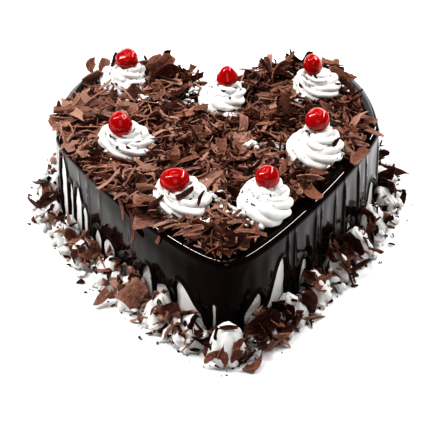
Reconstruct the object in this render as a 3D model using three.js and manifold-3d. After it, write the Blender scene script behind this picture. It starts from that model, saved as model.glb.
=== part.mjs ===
// Heart shaped celebration cake: a cream coated cake body under a poured chocolate glaze with drips,
// seven piped cream swirls each with a glace cherry, chocolate flakes strewn over the top,
// and a piped cream border round the foot with flakes pressed on.
// Millimetres, +Z up. The tip of the heart points to -Y, the base rests on z = 0.
// Lengths along the side (s) are measured from the tip, counter-clockwise seen from above.
import * as THREE from 'three';
import Module from 'manifold-3d';

const wasm = await Module();
wasm.setup();

// Driving sizes of the heart, seen from above at the outside of the glaze.
const HEIGHT = 72;                                       // base to glaze top
const NOTCH = { y: 46, reach: 12 };                      // bottom of the notch and length of its round
const LOBE = { x: 78, y: 81, inner: 60, outer: 20 };     // back of a lobe and its two handles
const FLANK = { x: 115, y: 1, up: 54, down: 20 };        // widest place
const TIP = { y: -149, reach: 28 };                      // front point and length of its round
const HUB = [0, -10];                                    // every rim point can be seen from here

const GAP = 0.3;                                         // clearance between neighbouring pieces
const GLAZE = 3.0;                                       // thickness of the glaze
const RIM_ROUND = 5.0;                                   // round of the glaze at the top rim
const GLAZE_FOOT = 5.0;                                  // lower edge of the glaze where it runs right down

// Windows in the glaze between two drips: start s, end s, height left, place of the peak, peak, height right.
const WINDOWS = [
  [14, 29, 24, 0.85, 34, 31], [35, 53, 20, 0.88, 50, 44], [71, 79.5, 22, 0.55, 33, 30],
  [106, 114, 20, 0.6, 28, 25], [133, 139.5, 18, 0.5, 26, 22], [154, 160, 18, 0.5, 25, 21],
  [167, 180, 20, 0.5, 36, 30],
  [-10.4, -8.2, 33, 0.5, 34, 33], [-42, -19, 36, 0.15, 39, 22], [-62.5, -48.7, 24, 0.75, 28, 25],
  [-78, -67.8, 27, 0.8, 34, 30], [-101.7, -92.8, 17, 0.5, 19.5, 17], [-122.5, -111, 24, 0.5, 26.5, 24],
  [-134, -127.5, 24, 0.35, 27, 24], [-149, -145.3, 33, 0.5, 36, 33], [-160, -152.5, 41, 0.5, 48, 41],
  [-168.5, -164.7, 43, 0.5, 46, 43], [-181, -173, 52, 0.4, 65, 54],
];
const BACK_WINDOWS = { count: 9, from: 206, to: -206, width: [6, 8.9], peak: [22, 44] };

// Swirls: centre x, y, foot radius, height; cherry centre x, y, height over the glaze; cherry half sizes.
const SWIRLS = [
  { x: -65, y: 57, r: 18.0, h: 20, cherry: [-63.5, 59.0, 22.5], size: [8.4, 8.4, 7.8] },
  { x: -65, y: -20, r: 19.0, h: 19, cherry: [-68.5, -20.5, 21.5], size: [8.6, 8.6, 9.6] },
  { x: -25, y: -88, r: 19.5, h: 18, cherry: [-32.0, -85.0, 21.0], size: [10.3, 9.2, 8.8] },
  { x: 27, y: -95, r: 20.0, h: 21, cherry: [29.5, -89.5, 25.0], size: [8.3, 8.3, 8.6] },
  { x: 67, y: -36, r: 19.0, h: 23, cherry: [67.5, -27.0, 26.5], size: [8.9, 8.9, 8.2] },
  { x: 74, y: 42, r: 17.5, h: 21, cherry: [69.5, 42.5, 24.5], size: [6.9, 6.9, 8.4] },
  { x: 4, y: 30, r: 17.5, h: 19, cherry: [8.0, 34.0, 22.0], size: [7.9, 7.9, 7.6] },
];
const SWIRL = { columns: 18, rows: 5, ridges: 6, depth: 0.22, turn: 1.9 };

// Flakes on the top: bare strip inside the rim by side, core height, large flakes.
const BARE = [
  [-310, 2], [-240, 4], [-195, 1], [-75, 1], [-55, 5], [-8, 4], [30, 7], [60, 11], [120, 10], [160, 4],
  [200, 9], [250, 11], [285, 3],
];
const CORE = { low: 1.8, high: 4.2 };
const MOUNDS = [[-32, 58, 26, 7], [36, 62, 24, 5], [-96, 30, 20, 4]];    // centre x, y, radius, extra height
const FLAKES = { count: 42, long: [15, 25], wide: [8, 15], thick: 1.8, tilt: 0.75 };

// Border: piped dollops round the foot, spaced by arc length, each with flakes pressed on.
const BORDER = { pairs: 14, out: 7.4, radius: 11.6, height: [18, 24], lean: 3, flakes: 2 };
const TUCK = { from: 130, to: 185, in: 2.4 };            // the border lies closer round the flanks and the back
const TIP_DOLLOP = { out: 11, radius: 12.8, height: 28 };

const COLOURS = {
  cream: 0xf6f2ec, glaze: 0x120a08, cherry: 0xc4060c, chocolate: 0x55301f,
};

// Repeatable draw between 0 and 1 for piece i, use k.
function draw(i, k) {
  const v = Math.sin(i * 12.9898 + k * 78.233 + 1.7) * 43758.5453;
  return v - Math.floor(v);
}
const mix = (a, b, t) => a + (b - a) * t;
const pick = (range, i, k) => mix(range[0], range[1], draw(i, k));

function cubic(a, b, c, d, t) {
  const u = 1 - t;
  return [0, 1].map((k) => u * u * u * a[k] + 3 * t * u * u * b[k] + 3 * t * t * u * c[k] + t * t * t * d[k]);
}

// Right half of the heart from the tip to the notch, then the mirrored half back to the tip.
function heartPoints() {
  const spans = [
    [[0, TIP.y], [TIP.reach, TIP.y], [FLANK.x, FLANK.y - FLANK.down], [FLANK.x, FLANK.y]],
    [[FLANK.x, FLANK.y], [FLANK.x, FLANK.y + FLANK.up], [LOBE.x + LOBE.outer, LOBE.y], [LOBE.x, LOBE.y]],
    [[LOBE.x, LOBE.y], [LOBE.x - LOBE.inner, LOBE.y], [NOTCH.reach, NOTCH.y], [0, NOTCH.y]],
  ];
  const half = spans.flatMap((p) => Array.from({ length: 60 }, (_, i) => cubic(...p, i / 60)));
  half.push([0, NOTCH.y]);
  return half.concat(half.slice(0, -1).reverse().map(([x, y]) => [-x, y]));
}

const POINTS = heartPoints();
const LENGTHS = POINTS.reduce((run, p, i) => {
  run.push(i ? run[i - 1] + Math.hypot(p[0] - POINTS[i - 1][0], p[1] - POINTS[i - 1][1]) : 0);
  return run;
}, []);
const ROUND = LENGTHS[LENGTHS.length - 1];               // whole length of the outline

function along(s) {
  const w = ((s % ROUND) + ROUND) % ROUND;
  let i = 1;
  while (LENGTHS[i] < w) i += 1;
  const t = (w - LENGTHS[i - 1]) / (LENGTHS[i] - LENGTHS[i - 1]);
  return [0, 1].map((k) => mix(POINTS[i - 1][k], POINTS[i][k], t));
}

// Point of the outline at s, moved outward by off.
function edge(s, off = 0) {
  const [a, b, p] = [along(s - 0.8), along(s + 0.8), along(s)];
  const n = Math.hypot(b[0] - a[0], b[1] - a[1]);
  return [p[0] + ((b[1] - a[1]) / n) * off, p[1] - ((b[0] - a[0]) / n) * off];
}

// Distance inside the rim, negative outside, with the nearest s.
function depthAt(x, y) {
  let best = [Infinity, 0];
  let inside = false;
  for (let i = 1; i < POINTS.length; i += 1) {
    const [a, b] = [POINTS[i - 1], POINTS[i]];
    const d = Math.hypot(x - b[0], y - b[1]);
    if (d < best[0]) best = [d, LENGTHS[i]];
    if ((a[1] > y) !== (b[1] > y) && x < mix(a[0], b[0], (y - a[1]) / (b[1] - a[1]))) inside = !inside;
  }
  return { depth: inside ? best[0] : -best[0], s: best[1] };
}

function solidFrom(vertices, triangles) {
  const geometry = new THREE.BufferGeometry();
  geometry.setAttribute('position', new THREE.Float32BufferAttribute(vertices, 3));
  geometry.setIndex(triangles);
  return geometry;
}

// Closed solid through rings of equal count, counter-clockwise, from the low centre to the high centre.
function loft(rings, low, high) {
  const n = rings[0].length;
  const vertices = [...rings.flat(2), ...low, ...high];
  const [first, last] = [rings.length * n, rings.length * n + 1];
  const triangles = [];
  for (let i = 0; i < n; i += 1) {
    const j = (i + 1) % n;
    for (let k = 0; k + 1 < rings.length; k += 1) {
      const [a, b] = [k * n + i, k * n + j];
      triangles.push(a, b, b + n, a, b + n, a + n);
    }
    const top = (rings.length - 1) * n;
    triangles.push(first, j, i, last, top + i, top + j);
  }
  return solidFrom(vertices, triangles);
}

function toManifold(geometry) {
  return new wasm.Manifold(new wasm.Mesh({
    numProp: 3,
    vertProperties: Float32Array.from(geometry.attributes.position.array),
    triVerts: Uint32Array.from(geometry.index.array),
  }));
}

// Geometry of the largest body; slivers that a cut has left loose are dropped.
function fromManifold(solid) {
  const bodies = solid.decompose().sort((a, b) => b.volume() - a.volume());
  const mesh = bodies[0].getMesh();
  return solidFrom(Array.from(mesh.vertProperties), Array.from(mesh.triVerts));
}

// Places round the outline, closer together at the tip, the notch and the backs of the lobes.
function stations(scale = 1) {
  const list = [0];
  const lobe = LENGTHS[120];
  for (;;) {
    const s = list[list.length - 1];
    const sharp = [[0, 16], [ROUND / 2, 18], [ROUND, 16], [lobe, 12], [ROUND - lobe, 12]];
    const step = sharp.some(([c, w]) => s > c - w - 1 && s < c + w) ? 3 : 11;
    if (s + step * scale * 1.4 > ROUND) return list;
    list.push(s + step * scale);
  }
}

// Heart shaped slab between two heights, its side moved outward by off.
function heartSlab(off, z0, z1) {
  const ring = (z, o) => stations().map((s) => [...edge(s, o), z]);
  return loft([ring(z0, off), ring(z1, off)], [...HUB, z0], [...HUB, z1]);
}

function bodyGeometry() {
  const top = HEIGHT - GLAZE - GAP;
  const ring = (z) => stations().map((s) => [...edge(s, -GLAZE - GAP), z]);
  return loft([ring(0), ring(top)], [...HUB, 0], [...HUB, top]);
}

// All windows: the measured ones and the ruled ones at the back.
function allWindows() {
  const { count, from, to, width, peak } = BACK_WINDOWS;
  const span = (ROUND + to - from) / count;
  const back = Array.from({ length: count }, (_, i) => {
    const s = from + span * (i + 0.2 + 0.4 * draw(i, 1));
    const z = pick(peak, i, 3);
    return [s, s + pick(width, i, 2), z - 4, 0.3 + 0.4 * draw(i, 4), z, z - 3];
  });
  return WINDOWS.map(([a, b, ...rest]) => [(a + ROUND) % ROUND, (b + ROUND) % ROUND, ...rest]).concat(back);
}

// Outline of one window: s and height from its left foot over the peak to its right foot.
function windowLine([a, b, left, f, peak, right]) {
  const rise = Math.min(0.7, (b - a) * 0.2);
  const mid = a + (b - a) * f;
  const line = [[a, GLAZE_FOOT], [a + rise, left], [mid, peak], [b - rise, right], [b, GLAZE_FOOT]];
  if (b - a > 9) {
    line.splice(3, 0, [mix(mid, b - rise, 0.4), mix(peak, right, 0.15)]);
    line.splice(2, 0, [mix(a + rise, mid, 0.6), mix(left, peak, 0.85)]);
  }
  return line;
}

// Columns of the glaze side: s and the height of the lower edge there.
function glazeColumns() {
  const lines = allWindows().map(windowLine);
  const columns = lines.flat();
  stations().forEach((s, i) => {
    if (columns.some(([c]) => Math.abs(c - s) < 0.6)) return;
    const line = lines.find((w) => w[0][0] < s && s < w[w.length - 1][0]);
    if (!line) return columns.push([s, GLAZE_FOOT - 1.5 * draw(i, 5)]);
    const k = line.findIndex(([c]) => c > s);
    const t = (s - line[k - 1][0]) / (line[k][0] - line[k - 1][0]);
    return columns.push([s, mix(line[k - 1][1], line[k][1], t)]);
  });
  return columns.sort((p, q) => p[0] - q[0]);
}

function glazeGeometry() {
  const columns = glazeColumns();
  const ring = (off, z) => columns.map(([s, low]) => [...edge(s, off), z ?? low]);
  const rings = [
    ring(-GLAZE, HEIGHT - GLAZE), ring(-GLAZE), ring(0),
    ring(0, HEIGHT - RIM_ROUND), ring(-RIM_ROUND * 0.3, HEIGHT - RIM_ROUND * 0.3), ring(-RIM_ROUND, HEIGHT),
  ];
  return loft(rings, [...HUB, HEIGHT - GLAZE], [...HUB, HEIGHT]);
}

// Radius of a swirl at height fraction t: full to the middle, drawn in to a broad blunt top.
const swirlProfile = (t) => (t < 0.2 ? mix(0.92, 1, t / 0.2) : 1 - 0.46 * ((t - 0.2) / 0.8) ** 2.2);

function cherryGeometry({ cherry, size }, grow = 0) {
  const [columns, rows] = [12, 7];
  const rings = [];
  for (let k = 1; k < rows; k += 1) {
    const v = -Math.cos((Math.PI * k) / rows);
    const w = Math.sin((Math.PI * k) / rows);
    rings.push(Array.from({ length: columns }, (_, i) => {
      const a = (2 * Math.PI * i) / columns;
      return [cherry[0] + (size[0] + grow) * w * Math.cos(a), cherry[1] + (size[1] + grow) * w * Math.sin(a),
        HEIGHT + cherry[2] + (size[2] + grow) * v];
    }));
  }
  const z = HEIGHT + cherry[2];
  return loft(rings, [cherry[0], cherry[1], z - size[2] - grow], [cherry[0], cherry[1], z + size[2] + grow]);
}

// Piped swirl: a twisted star that leans toward its cherry, with the seat of the cherry cut out.
function swirlGeometry(swirl, i) {
  const { x, y, r, h, cherry } = swirl;
  const rings = [];
  for (let k = 0; k <= SWIRL.rows; k += 1) {
    const t = k / SWIRL.rows;
    rings.push(Array.from({ length: SWIRL.columns }, (_, c) => {
      const a = (2 * Math.PI * c) / SWIRL.columns;
      const wave = Math.cos(SWIRL.ridges * (a - SWIRL.turn * t) + i);
      const reach = r * swirlProfile(t) * (1 - SWIRL.depth * (0.5 - 0.5 * wave));
      const [cx, cy] = [mix(x, cherry[0], t * t), mix(y, cherry[1], t * t)];
      return [cx + reach * Math.cos(a), cy + reach * Math.sin(a), HEIGHT + GAP + h * t];
    }));
  }
  const body = loft(rings, [x, y, HEIGHT + GAP], [cherry[0], cherry[1], HEIGHT + GAP + h]);
  return fromManifold(toManifold(body).subtract(toManifold(cherryGeometry(swirl, GAP + 0.1))));
}

// Flat shard with four uneven corners: half length a, half width b, turned by yaw, pitch and roll.
function shard(centre, a, b, thick, [yaw, pitch, roll], i) {
  const corners = [[-1, -1], [1, -1], [1, 1], [-1, 1]].map(([u, v], k) => [
    u * a * (0.72 + 0.28 * draw(i, 20 + k)), v * b * (0.55 + 0.45 * draw(i, 30 + k)),
  ]);
  const ring = (z) => corners.map(([u, v]) => [u, v, z]);
  const half = thick / 2;
  const geometry = loft([ring(-half), ring(half)], [0, 0, -half], [0, 0, half]);
  geometry.applyMatrix4(new THREE.Matrix4().makeRotationFromEuler(new THREE.Euler(roll, pitch, yaw, 'ZYX')));
  return geometry.translate(...centre);
}

// Width of the bare strip inside the rim at s.
function bareStrip(s) {
  const w = s > ROUND / 2 ? s - ROUND : s;
  const i = BARE.findIndex(([from]) => from > w);
  if (i <= 0) return BARE[i < 0 ? BARE.length - 1 : 0][1];
  const [a, b] = [BARE[i - 1], BARE[i]];
  return mix(a[1], b[1], (w - a[0]) / (b[0] - a[0]));
}

// Uneven height of the flake core: a sum of two slow waves and a few mounds.
function coreHeight(x, y) {
  const wave = 0.5 + 0.25 * Math.sin(x * 0.11 + y * 0.05) + 0.25 * Math.sin(y * 0.13 - x * 0.04 + 2);
  const mound = ([cx, cy, r, h]) => h * Math.exp(-(((x - cx) ** 2 + (y - cy) ** 2) / (r * r)) * 2);
  return MOUNDS.reduce((sum, m) => sum + mound(m), mix(CORE.low, CORE.high, wave));
}

// Core of the strewn flakes: a low uneven sheet with a hole round every swirl.
function flakeCore() {
  const n = 52;
  const base = HEIGHT + GAP;
  const at = (i, f) => {
    const s = (i * ROUND) / n;
    const [x, y] = edge(s, -bareStrip(s) - 2);
    return [mix(HUB[0], x, f), mix(HUB[1], y, f)];
  };
  const ring = (f, height) => Array.from({ length: n }, (_, i) => {
    const [x, y] = at(i, f);
    return [x, y, base + (height ? coreHeight(x, y) * height : 0)];
  });
  const rings = [ring(1, 0), ring(0.96, 0.9), ring(0.74, 1), ring(0.4, 1)];
  const sheet = toManifold(loft(rings, [...HUB, base], [...HUB, base + coreHeight(...HUB)]));
  return SWIRLS.reduce((solid, w) => solid.subtract(well(w)), sheet);
}

// Clearance well round a swirl.
function well({ x, y, r }) {
  const ring = (z) => Array.from({ length: 16 }, (_, i) => {
    const a = (2 * Math.PI * i) / 16;
    return [x + (r + 0.9) * Math.cos(a), y + (r + 0.9) * Math.sin(a), z];
  });
  return toManifold(loft([ring(HEIGHT - 10), ring(HEIGHT + 60)], [x, y, HEIGHT - 10], [x, y, HEIGHT + 60]));
}

// Large flakes spread by a two-number sequence, largest first, clear of the swirls.
function topFlakes() {
  const shards = [];
  for (let i = 0; shards.length < FLAKES.count && i < 2000; i += 1) {
    const x = mix(-112, 112, (0.5 + i * 0.7548776662) % 1);
    const y = mix(-146, 80, (0.5 + i * 0.5698402910) % 1);
    const { depth, s } = depthAt(x, y);
    const clear = SWIRLS.every((w) => Math.hypot(x - w.x, y - w.y) > w.r + 3);
    if (!clear || depth < bareStrip(s) + 3) continue;
    const rank = 1 - shards.length / FLAKES.count;
    const a = mix(...FLAKES.long, rank * (0.4 + 0.6 * draw(i, 6))) / 2;
    const b = mix(...FLAKES.wide, rank * draw(i, 7)) / 2;
    const [pitch, roll] = [9, 10].map((k) => FLAKES.tilt * 2 * (draw(i, k) - 0.5));
    const lift = a * Math.abs(Math.sin(pitch)) + b * Math.abs(Math.sin(roll));
    const z = HEIGHT + GAP + Math.max(coreHeight(x, y) - 1, 0.8) + 0.55 * lift;
    const turn = [2 * Math.PI * draw(i, 8), pitch, roll];
    shards.push(shard([x, y, z], a, b, FLAKES.thick, turn, i));
  }
  return shards;
}

function flakeGeometry() {
  const pieces = topFlakes().map(toManifold);
  let solid = flakeCore();
  for (const piece of pieces) {
    const cut = SWIRLS.reduce((m, w) => m.subtract(well(w)), piece);
    solid = solid.add(cut.trimByPlane([0, 0, 1], HEIGHT + GAP));
  }
  return fromManifold(solid);
}

// Closed path of the border: the outline moved outward, folded part at the notch left out.
function borderPath(out) {
  const half = [];
  for (let s = 0; s <= ROUND / 2; s += 1) {
    const p = edge(s, out);
    if (s > 20 && p[0] < 0) break;
    half.push(p);
  }
  half[0] = [0, half[0][1]];
  half.push([0, half[half.length - 1][1]]);
  const run = [0];
  for (let i = 1; i < half.length; i += 1) {
    run.push(run[i - 1] + Math.hypot(half[i][0] - half[i - 1][0], half[i][1] - half[i - 1][1]));
  }
  return { half, run };
}

// Centres of the dollops: one at the tip, one in the notch, equal steps between, both sides alike.
function dollops() {
  const { half, run } = borderPath(BORDER.out);
  const whole = run[run.length - 1];
  const right = Array.from({ length: BORDER.pairs + 1 }, (_, k) => {
    const w = (whole * k) / BORDER.pairs;
    const i = Math.max(1, run.findIndex((v) => v >= w - 1e-9));
    const t = (w - run[i - 1]) / (run[i] - run[i - 1]);
    return [mix(half[i - 1][0], half[i][0], t), mix(half[i - 1][1], half[i][1], t)];
  });
  right.forEach(([x, y], k) => {
    const { s } = depthAt(x, y);
    const tuck = TUCK.in * THREE.MathUtils.smoothstep(s, TUCK.from, TUCK.to);
    const foot = edge(s, 0);
    const d = Math.hypot(foot[0] - x, foot[1] - y);
    if (k < BORDER.pairs) right[k] = [mix(x, foot[0], tuck / d), mix(y, foot[1], tuck / d)];
  });
  right[0] = [0, TIP.y - TIP_DOLLOP.out];
  const left = right.slice(1, -1).reverse().map(([x, y]) => [-x, y]);
  return right.concat(left);
}

// One piped dollop with the flakes pressed on it, cut clear of the cake side and its neighbours.
function dollopGeometry(centres, i, cake) {
  const [x, y] = centres[i];
  const radius = i ? BORDER.radius + 1.2 * draw(i, 11) : TIP_DOLLOP.radius;
  const height = i ? pick(BORDER.height, i, 12) : TIP_DOLLOP.height;
  const foot = edge(depthAt(x, y).s, 0);
  const inward = new THREE.Vector2(foot[0] - x, foot[1] - y).normalize().toArray();
  const levels = [[0, 0.88], [0.3, 1], [0.74, 0.66]];
  const rings = levels.map(([t, f]) => Array.from({ length: 9 }, (_, c) => {
    const a = (2 * Math.PI * c) / 9;
    const shift = BORDER.lean * t;
    const [u, v] = [inward[0] * shift + radius * f * Math.cos(a), inward[1] * shift + radius * f * Math.sin(a)];
    return [x + u, y + v, height * t];
  }));
  const peak = [x + inward[0] * BORDER.lean, y + inward[1] * BORDER.lean, height];
  let solid = toManifold(loft(rings, [x, y, 0], peak));
  const outwards = Math.atan2(-inward[1], -inward[0]);
  for (let k = 0; k < BORDER.flakes; k += 1) {
    const id = 500 + i * 7 + k;
    const a = outwards + mix(-1.25, 1.25, (k + draw(id, 13)) / BORDER.flakes);
    const z = height * mix(0.16, 0.62, draw(id, 14));
    const d = radius * (0.8 - 0.25 * (z / height));
    const turn = [a, mix(0.3, 1.25, draw(id, 15)), 1.1 * (draw(id, 16) - 0.5)];
    const half = pick([5.2, 8], id, 17);
    solid = solid.add(toManifold(shard([x + d * Math.cos(a), y + d * Math.sin(a), z], half,
      pick([3.4, 6], id, 18), 1.6, turn, id)));
  }
  const n = centres.length;
  for (const j of [(i + n - 1) % n, (i + 1) % n]) {
    const [dx, dy] = [x - centres[j][0], y - centres[j][1]];
    const d = Math.hypot(dx, dy);
    const middle = ((x + centres[j][0]) * dx + (y + centres[j][1]) * dy) / (2 * d);
    solid = solid.trimByPlane([dx / d, dy / d, 0], middle + GAP / 2);
  }
  return fromManifold(solid.trimByPlane([0, 0, 1], 0).subtract(cake));
}

const group = new THREE.Group();
group.name = 'heart_cake';

function addPiece(name, geometry, colour, roughness) {
  const material = new THREE.MeshStandardMaterial({ color: colour, roughness, metalness: 0 });
  material.name = `${name}_material`;
  const mesh = new THREE.Mesh(geometry, material);
  mesh.name = name;
  group.add(mesh);
}

addPiece('cake_body', bodyGeometry(), COLOURS.cream, 0.6);
addPiece('chocolate_glaze', glazeGeometry(), COLOURS.glaze, 0.12);
SWIRLS.forEach((swirl, i) => {
  addPiece(`cream_swirl_${i + 1}`, swirlGeometry(swirl, i), COLOURS.cream, 0.5);
  addPiece(`cherry_${i + 1}`, cherryGeometry(swirl), COLOURS.cherry, 0.15);
});
addPiece('chocolate_flakes', flakeGeometry(), COLOURS.chocolate, 0.6);
const centres = dollops();
const cake = toManifold(heartSlab(GAP + 0.1, -5, HEIGHT + 20));
centres.forEach((_, i) => {
  const name = `cream_border_${String(i + 1).padStart(2, '0')}`;
  addPiece(name, dollopGeometry(centres, i, cake), COLOURS.cream, 0.5);
});

export default group;
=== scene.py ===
"""Looks of a heart shaped celebration cake, worked out over its fixed frame.

The cream coat, the glaze, the piped swirls, the cherries, the strewn flakes and the piped border
replace the frame's plain solids with fine surfaces of the same form.
Sizes are written in millimetres and turned into metres when a mesh is made. Lengths along the
side (s) are measured from the tip of the heart, counter-clockwise seen from above.
"""
import math

import bpy
import numpy as np
from bpy.props import FloatProperty, FloatVectorProperty, IntProperty, PointerProperty
from mathutils import Matrix, Vector


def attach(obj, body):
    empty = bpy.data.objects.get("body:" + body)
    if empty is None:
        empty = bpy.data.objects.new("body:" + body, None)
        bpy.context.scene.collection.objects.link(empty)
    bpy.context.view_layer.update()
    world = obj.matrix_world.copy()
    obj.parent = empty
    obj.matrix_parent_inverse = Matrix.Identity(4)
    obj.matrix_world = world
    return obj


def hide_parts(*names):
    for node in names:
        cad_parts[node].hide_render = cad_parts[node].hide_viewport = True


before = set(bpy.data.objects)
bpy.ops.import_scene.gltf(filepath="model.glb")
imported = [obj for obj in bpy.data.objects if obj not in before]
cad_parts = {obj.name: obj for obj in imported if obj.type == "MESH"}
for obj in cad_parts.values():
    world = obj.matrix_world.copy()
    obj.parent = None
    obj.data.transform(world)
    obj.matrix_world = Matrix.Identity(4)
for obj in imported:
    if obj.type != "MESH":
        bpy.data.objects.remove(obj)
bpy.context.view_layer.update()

bl_info = {
    "name": "Heart shaped cake",
    "version": (1, 0, 0),
    "blender": (4, 5, 0),
    "location": "View3D > Sidebar > Heart cake",
    "description": "Glaze, piped cream, cherries, chocolate flakes and crumbs of a heart shaped cake",
    "category": "Object",
}

MM = 0.001
TAU = 2 * math.pi

# Heights and thicknesses of the cake, SEAT where the toppings stand, and the heart seen from above at
# the outside of the glaze.
HEIGHT = 72.0
SEAT = HEIGHT + 0.3
RIM_ROUND = 5.0
GLAZE_FOOT = 4.0
GLAZE_WALL = 4.6
GLAZE_LID = 3.8
COAT_IN = 0.9
COAT_TOP = HEIGHT - 4.0
CORE_FOOT = HEIGHT - 0.4
SIDE_SHOWN = 192
NOTCH_CLEAR = 16
HUB = (0.0, -10.0)
TIP_Y = -149.0
NOTCH_Y = 46.0
SPANS = [
    [(0, TIP_Y), (28, TIP_Y), (115, -19), (115, 1)],
    [(115, 1), (115, 55), (98, 81), (78, 81)],
    [(78, 81), (18, 81), (12, NOTCH_Y), (0, NOTCH_Y)],
]

# Windows in the glaze between two drips: start s, end s, height left, place of the peak, peak, height right.
WINDOWS = [
    (14, 29, 24, 0.85, 34, 31), (35, 53, 20, 0.88, 50, 44), (71, 79.5, 22, 0.55, 33, 30),
    (106, 114, 20, 0.6, 28, 25), (133, 139.5, 18, 0.5, 26, 22), (154, 160, 18, 0.5, 25, 21),
    (167, 180, 20, 0.5, 36, 30),
    (-10.4, -8.2, 33, 0.5, 34, 33), (-42, -19, 36, 0.15, 39, 22), (-62.5, -48.7, 24, 0.75, 28, 25),
    (-78, -67.8, 27, 0.8, 34, 30), (-101.7, -92.8, 17, 0.5, 19.5, 17), (-122.5, -111, 24, 0.5, 26.5, 24),
    (-134, -127.5, 24, 0.35, 27, 24), (-149, -145.3, 33, 0.5, 36, 33), (-160, -152.5, 41, 0.5, 48, 41),
    (-168.5, -164.7, 43, 0.5, 46, 43), (-181, -173, 52, 0.4, 65, 54),
]
BACK_WINDOWS = {"count": 9, "from": 206, "to": -206, "width": (6, 8.9), "peak": (22, 44)}

# Rivulets that stand proud of the glaze: s, height of the ridge, half width.
RIVULETS = [
    (56.5, 1.1, 1.6), (64.0, 0.7, 1.4), (89.5, 0.8, 2.0), (96.0, 0.6, 1.3), (115.0, 0.6, 1.4),
    (127.5, 1.3, 1.8), (149.0, 1.3, 1.7), (162.0, 0.8, 1.5), (184.0, 0.9, 1.8),
    (-88.0, 0.5, 2.4), (-125.0, 0.5, 1.8), (-141.0, 0.7, 1.8), (-152.0, 0.7, 1.4), (-170.0, 0.6, 1.2),
]

# Swirls: centre x, y, foot radius, height; cherry centre x, y, height over the glaze, half sizes, point.
SWIRLS = [
    (-65, 57, 18.0, 20, (-63.5, 59.0, 22.5), (8.4, 8.4, 7.8), 0.0),
    (-65, -20, 19.0, 19, (-68.5, -20.5, 21.5), (8.6, 8.6, 9.6), 0.0),
    (-25, -88, 19.5, 18, (-32.0, -85.0, 21.0), (10.3, 9.2, 8.8), 0.0),
    (27, -95, 20.0, 21, (29.5, -89.5, 25.0), (8.3, 8.3, 8.6), 0.0),
    (67, -36, 19.0, 23, (67.5, -27.0, 26.5), (8.9, 8.9, 8.2), 0.0),
    (74, 42, 17.5, 21, (69.5, 42.5, 24.5), (6.9, 6.9, 8.4), 0.0),
    (4, 30, 17.5, 19, (8.0, 34.0, 22.0), (7.9, 7.9, 7.4), 0.34),
]

# Browns of the flakes: place on the tone's scale, share of the middle brown, what is added to it.
BROWNS = [
    (0.0, (0.09, 0.03, 0.02), 0.0), (0.45, (0.64, 0.54, 0.50), 0.0),
    (0.85, (1.6, 1.75, 1.85), 0.004), (1.25, (2.5, 3.3, 3.8), 0.04),
]
STREAKS = {"share": 0.56, "most": 1.3, "shift": -0.215}

# Grids of the flakes' plates, and how much lighter their edges are at most: a painted highlight along the
# edges.
PLATE_GRIDS = [(4, 2), (4, 3), (6, 3), (7, 5), (8, 5), (9, 17)]
PAINTED_EDGE_HIGHLIGHT = 0.38

# Strewn flakes: bare strip inside the rim by side, height of the layer, mounds, large flakes.
BARE = [
    (-310, 2), (-240, 4), (-195, 1), (-75, 1), (-55, 5), (-8, 4), (30, 7), (60, 11), (120, 10),
    (160, 4), (190, 12), (250, 13), (285, 4),
]
STREWN = [
    (-310, 0), (-292, 11), (-232, 12), (-212, 0), (-165, 0), (-148, -3.5), (-84, -3.5), (-68, 0), (310, 0),
]
CORE_LOW, CORE_HIGH = 1.8, 4.2
MOUNDS = [(-32, 58, 26, 7), (36, 62, 24, 5), (-96, 30, 20, 4)]
LARGE = {"count": 42, "long": (15, 25), "wide": (8, 15), "tilt": 0.75}

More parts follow.
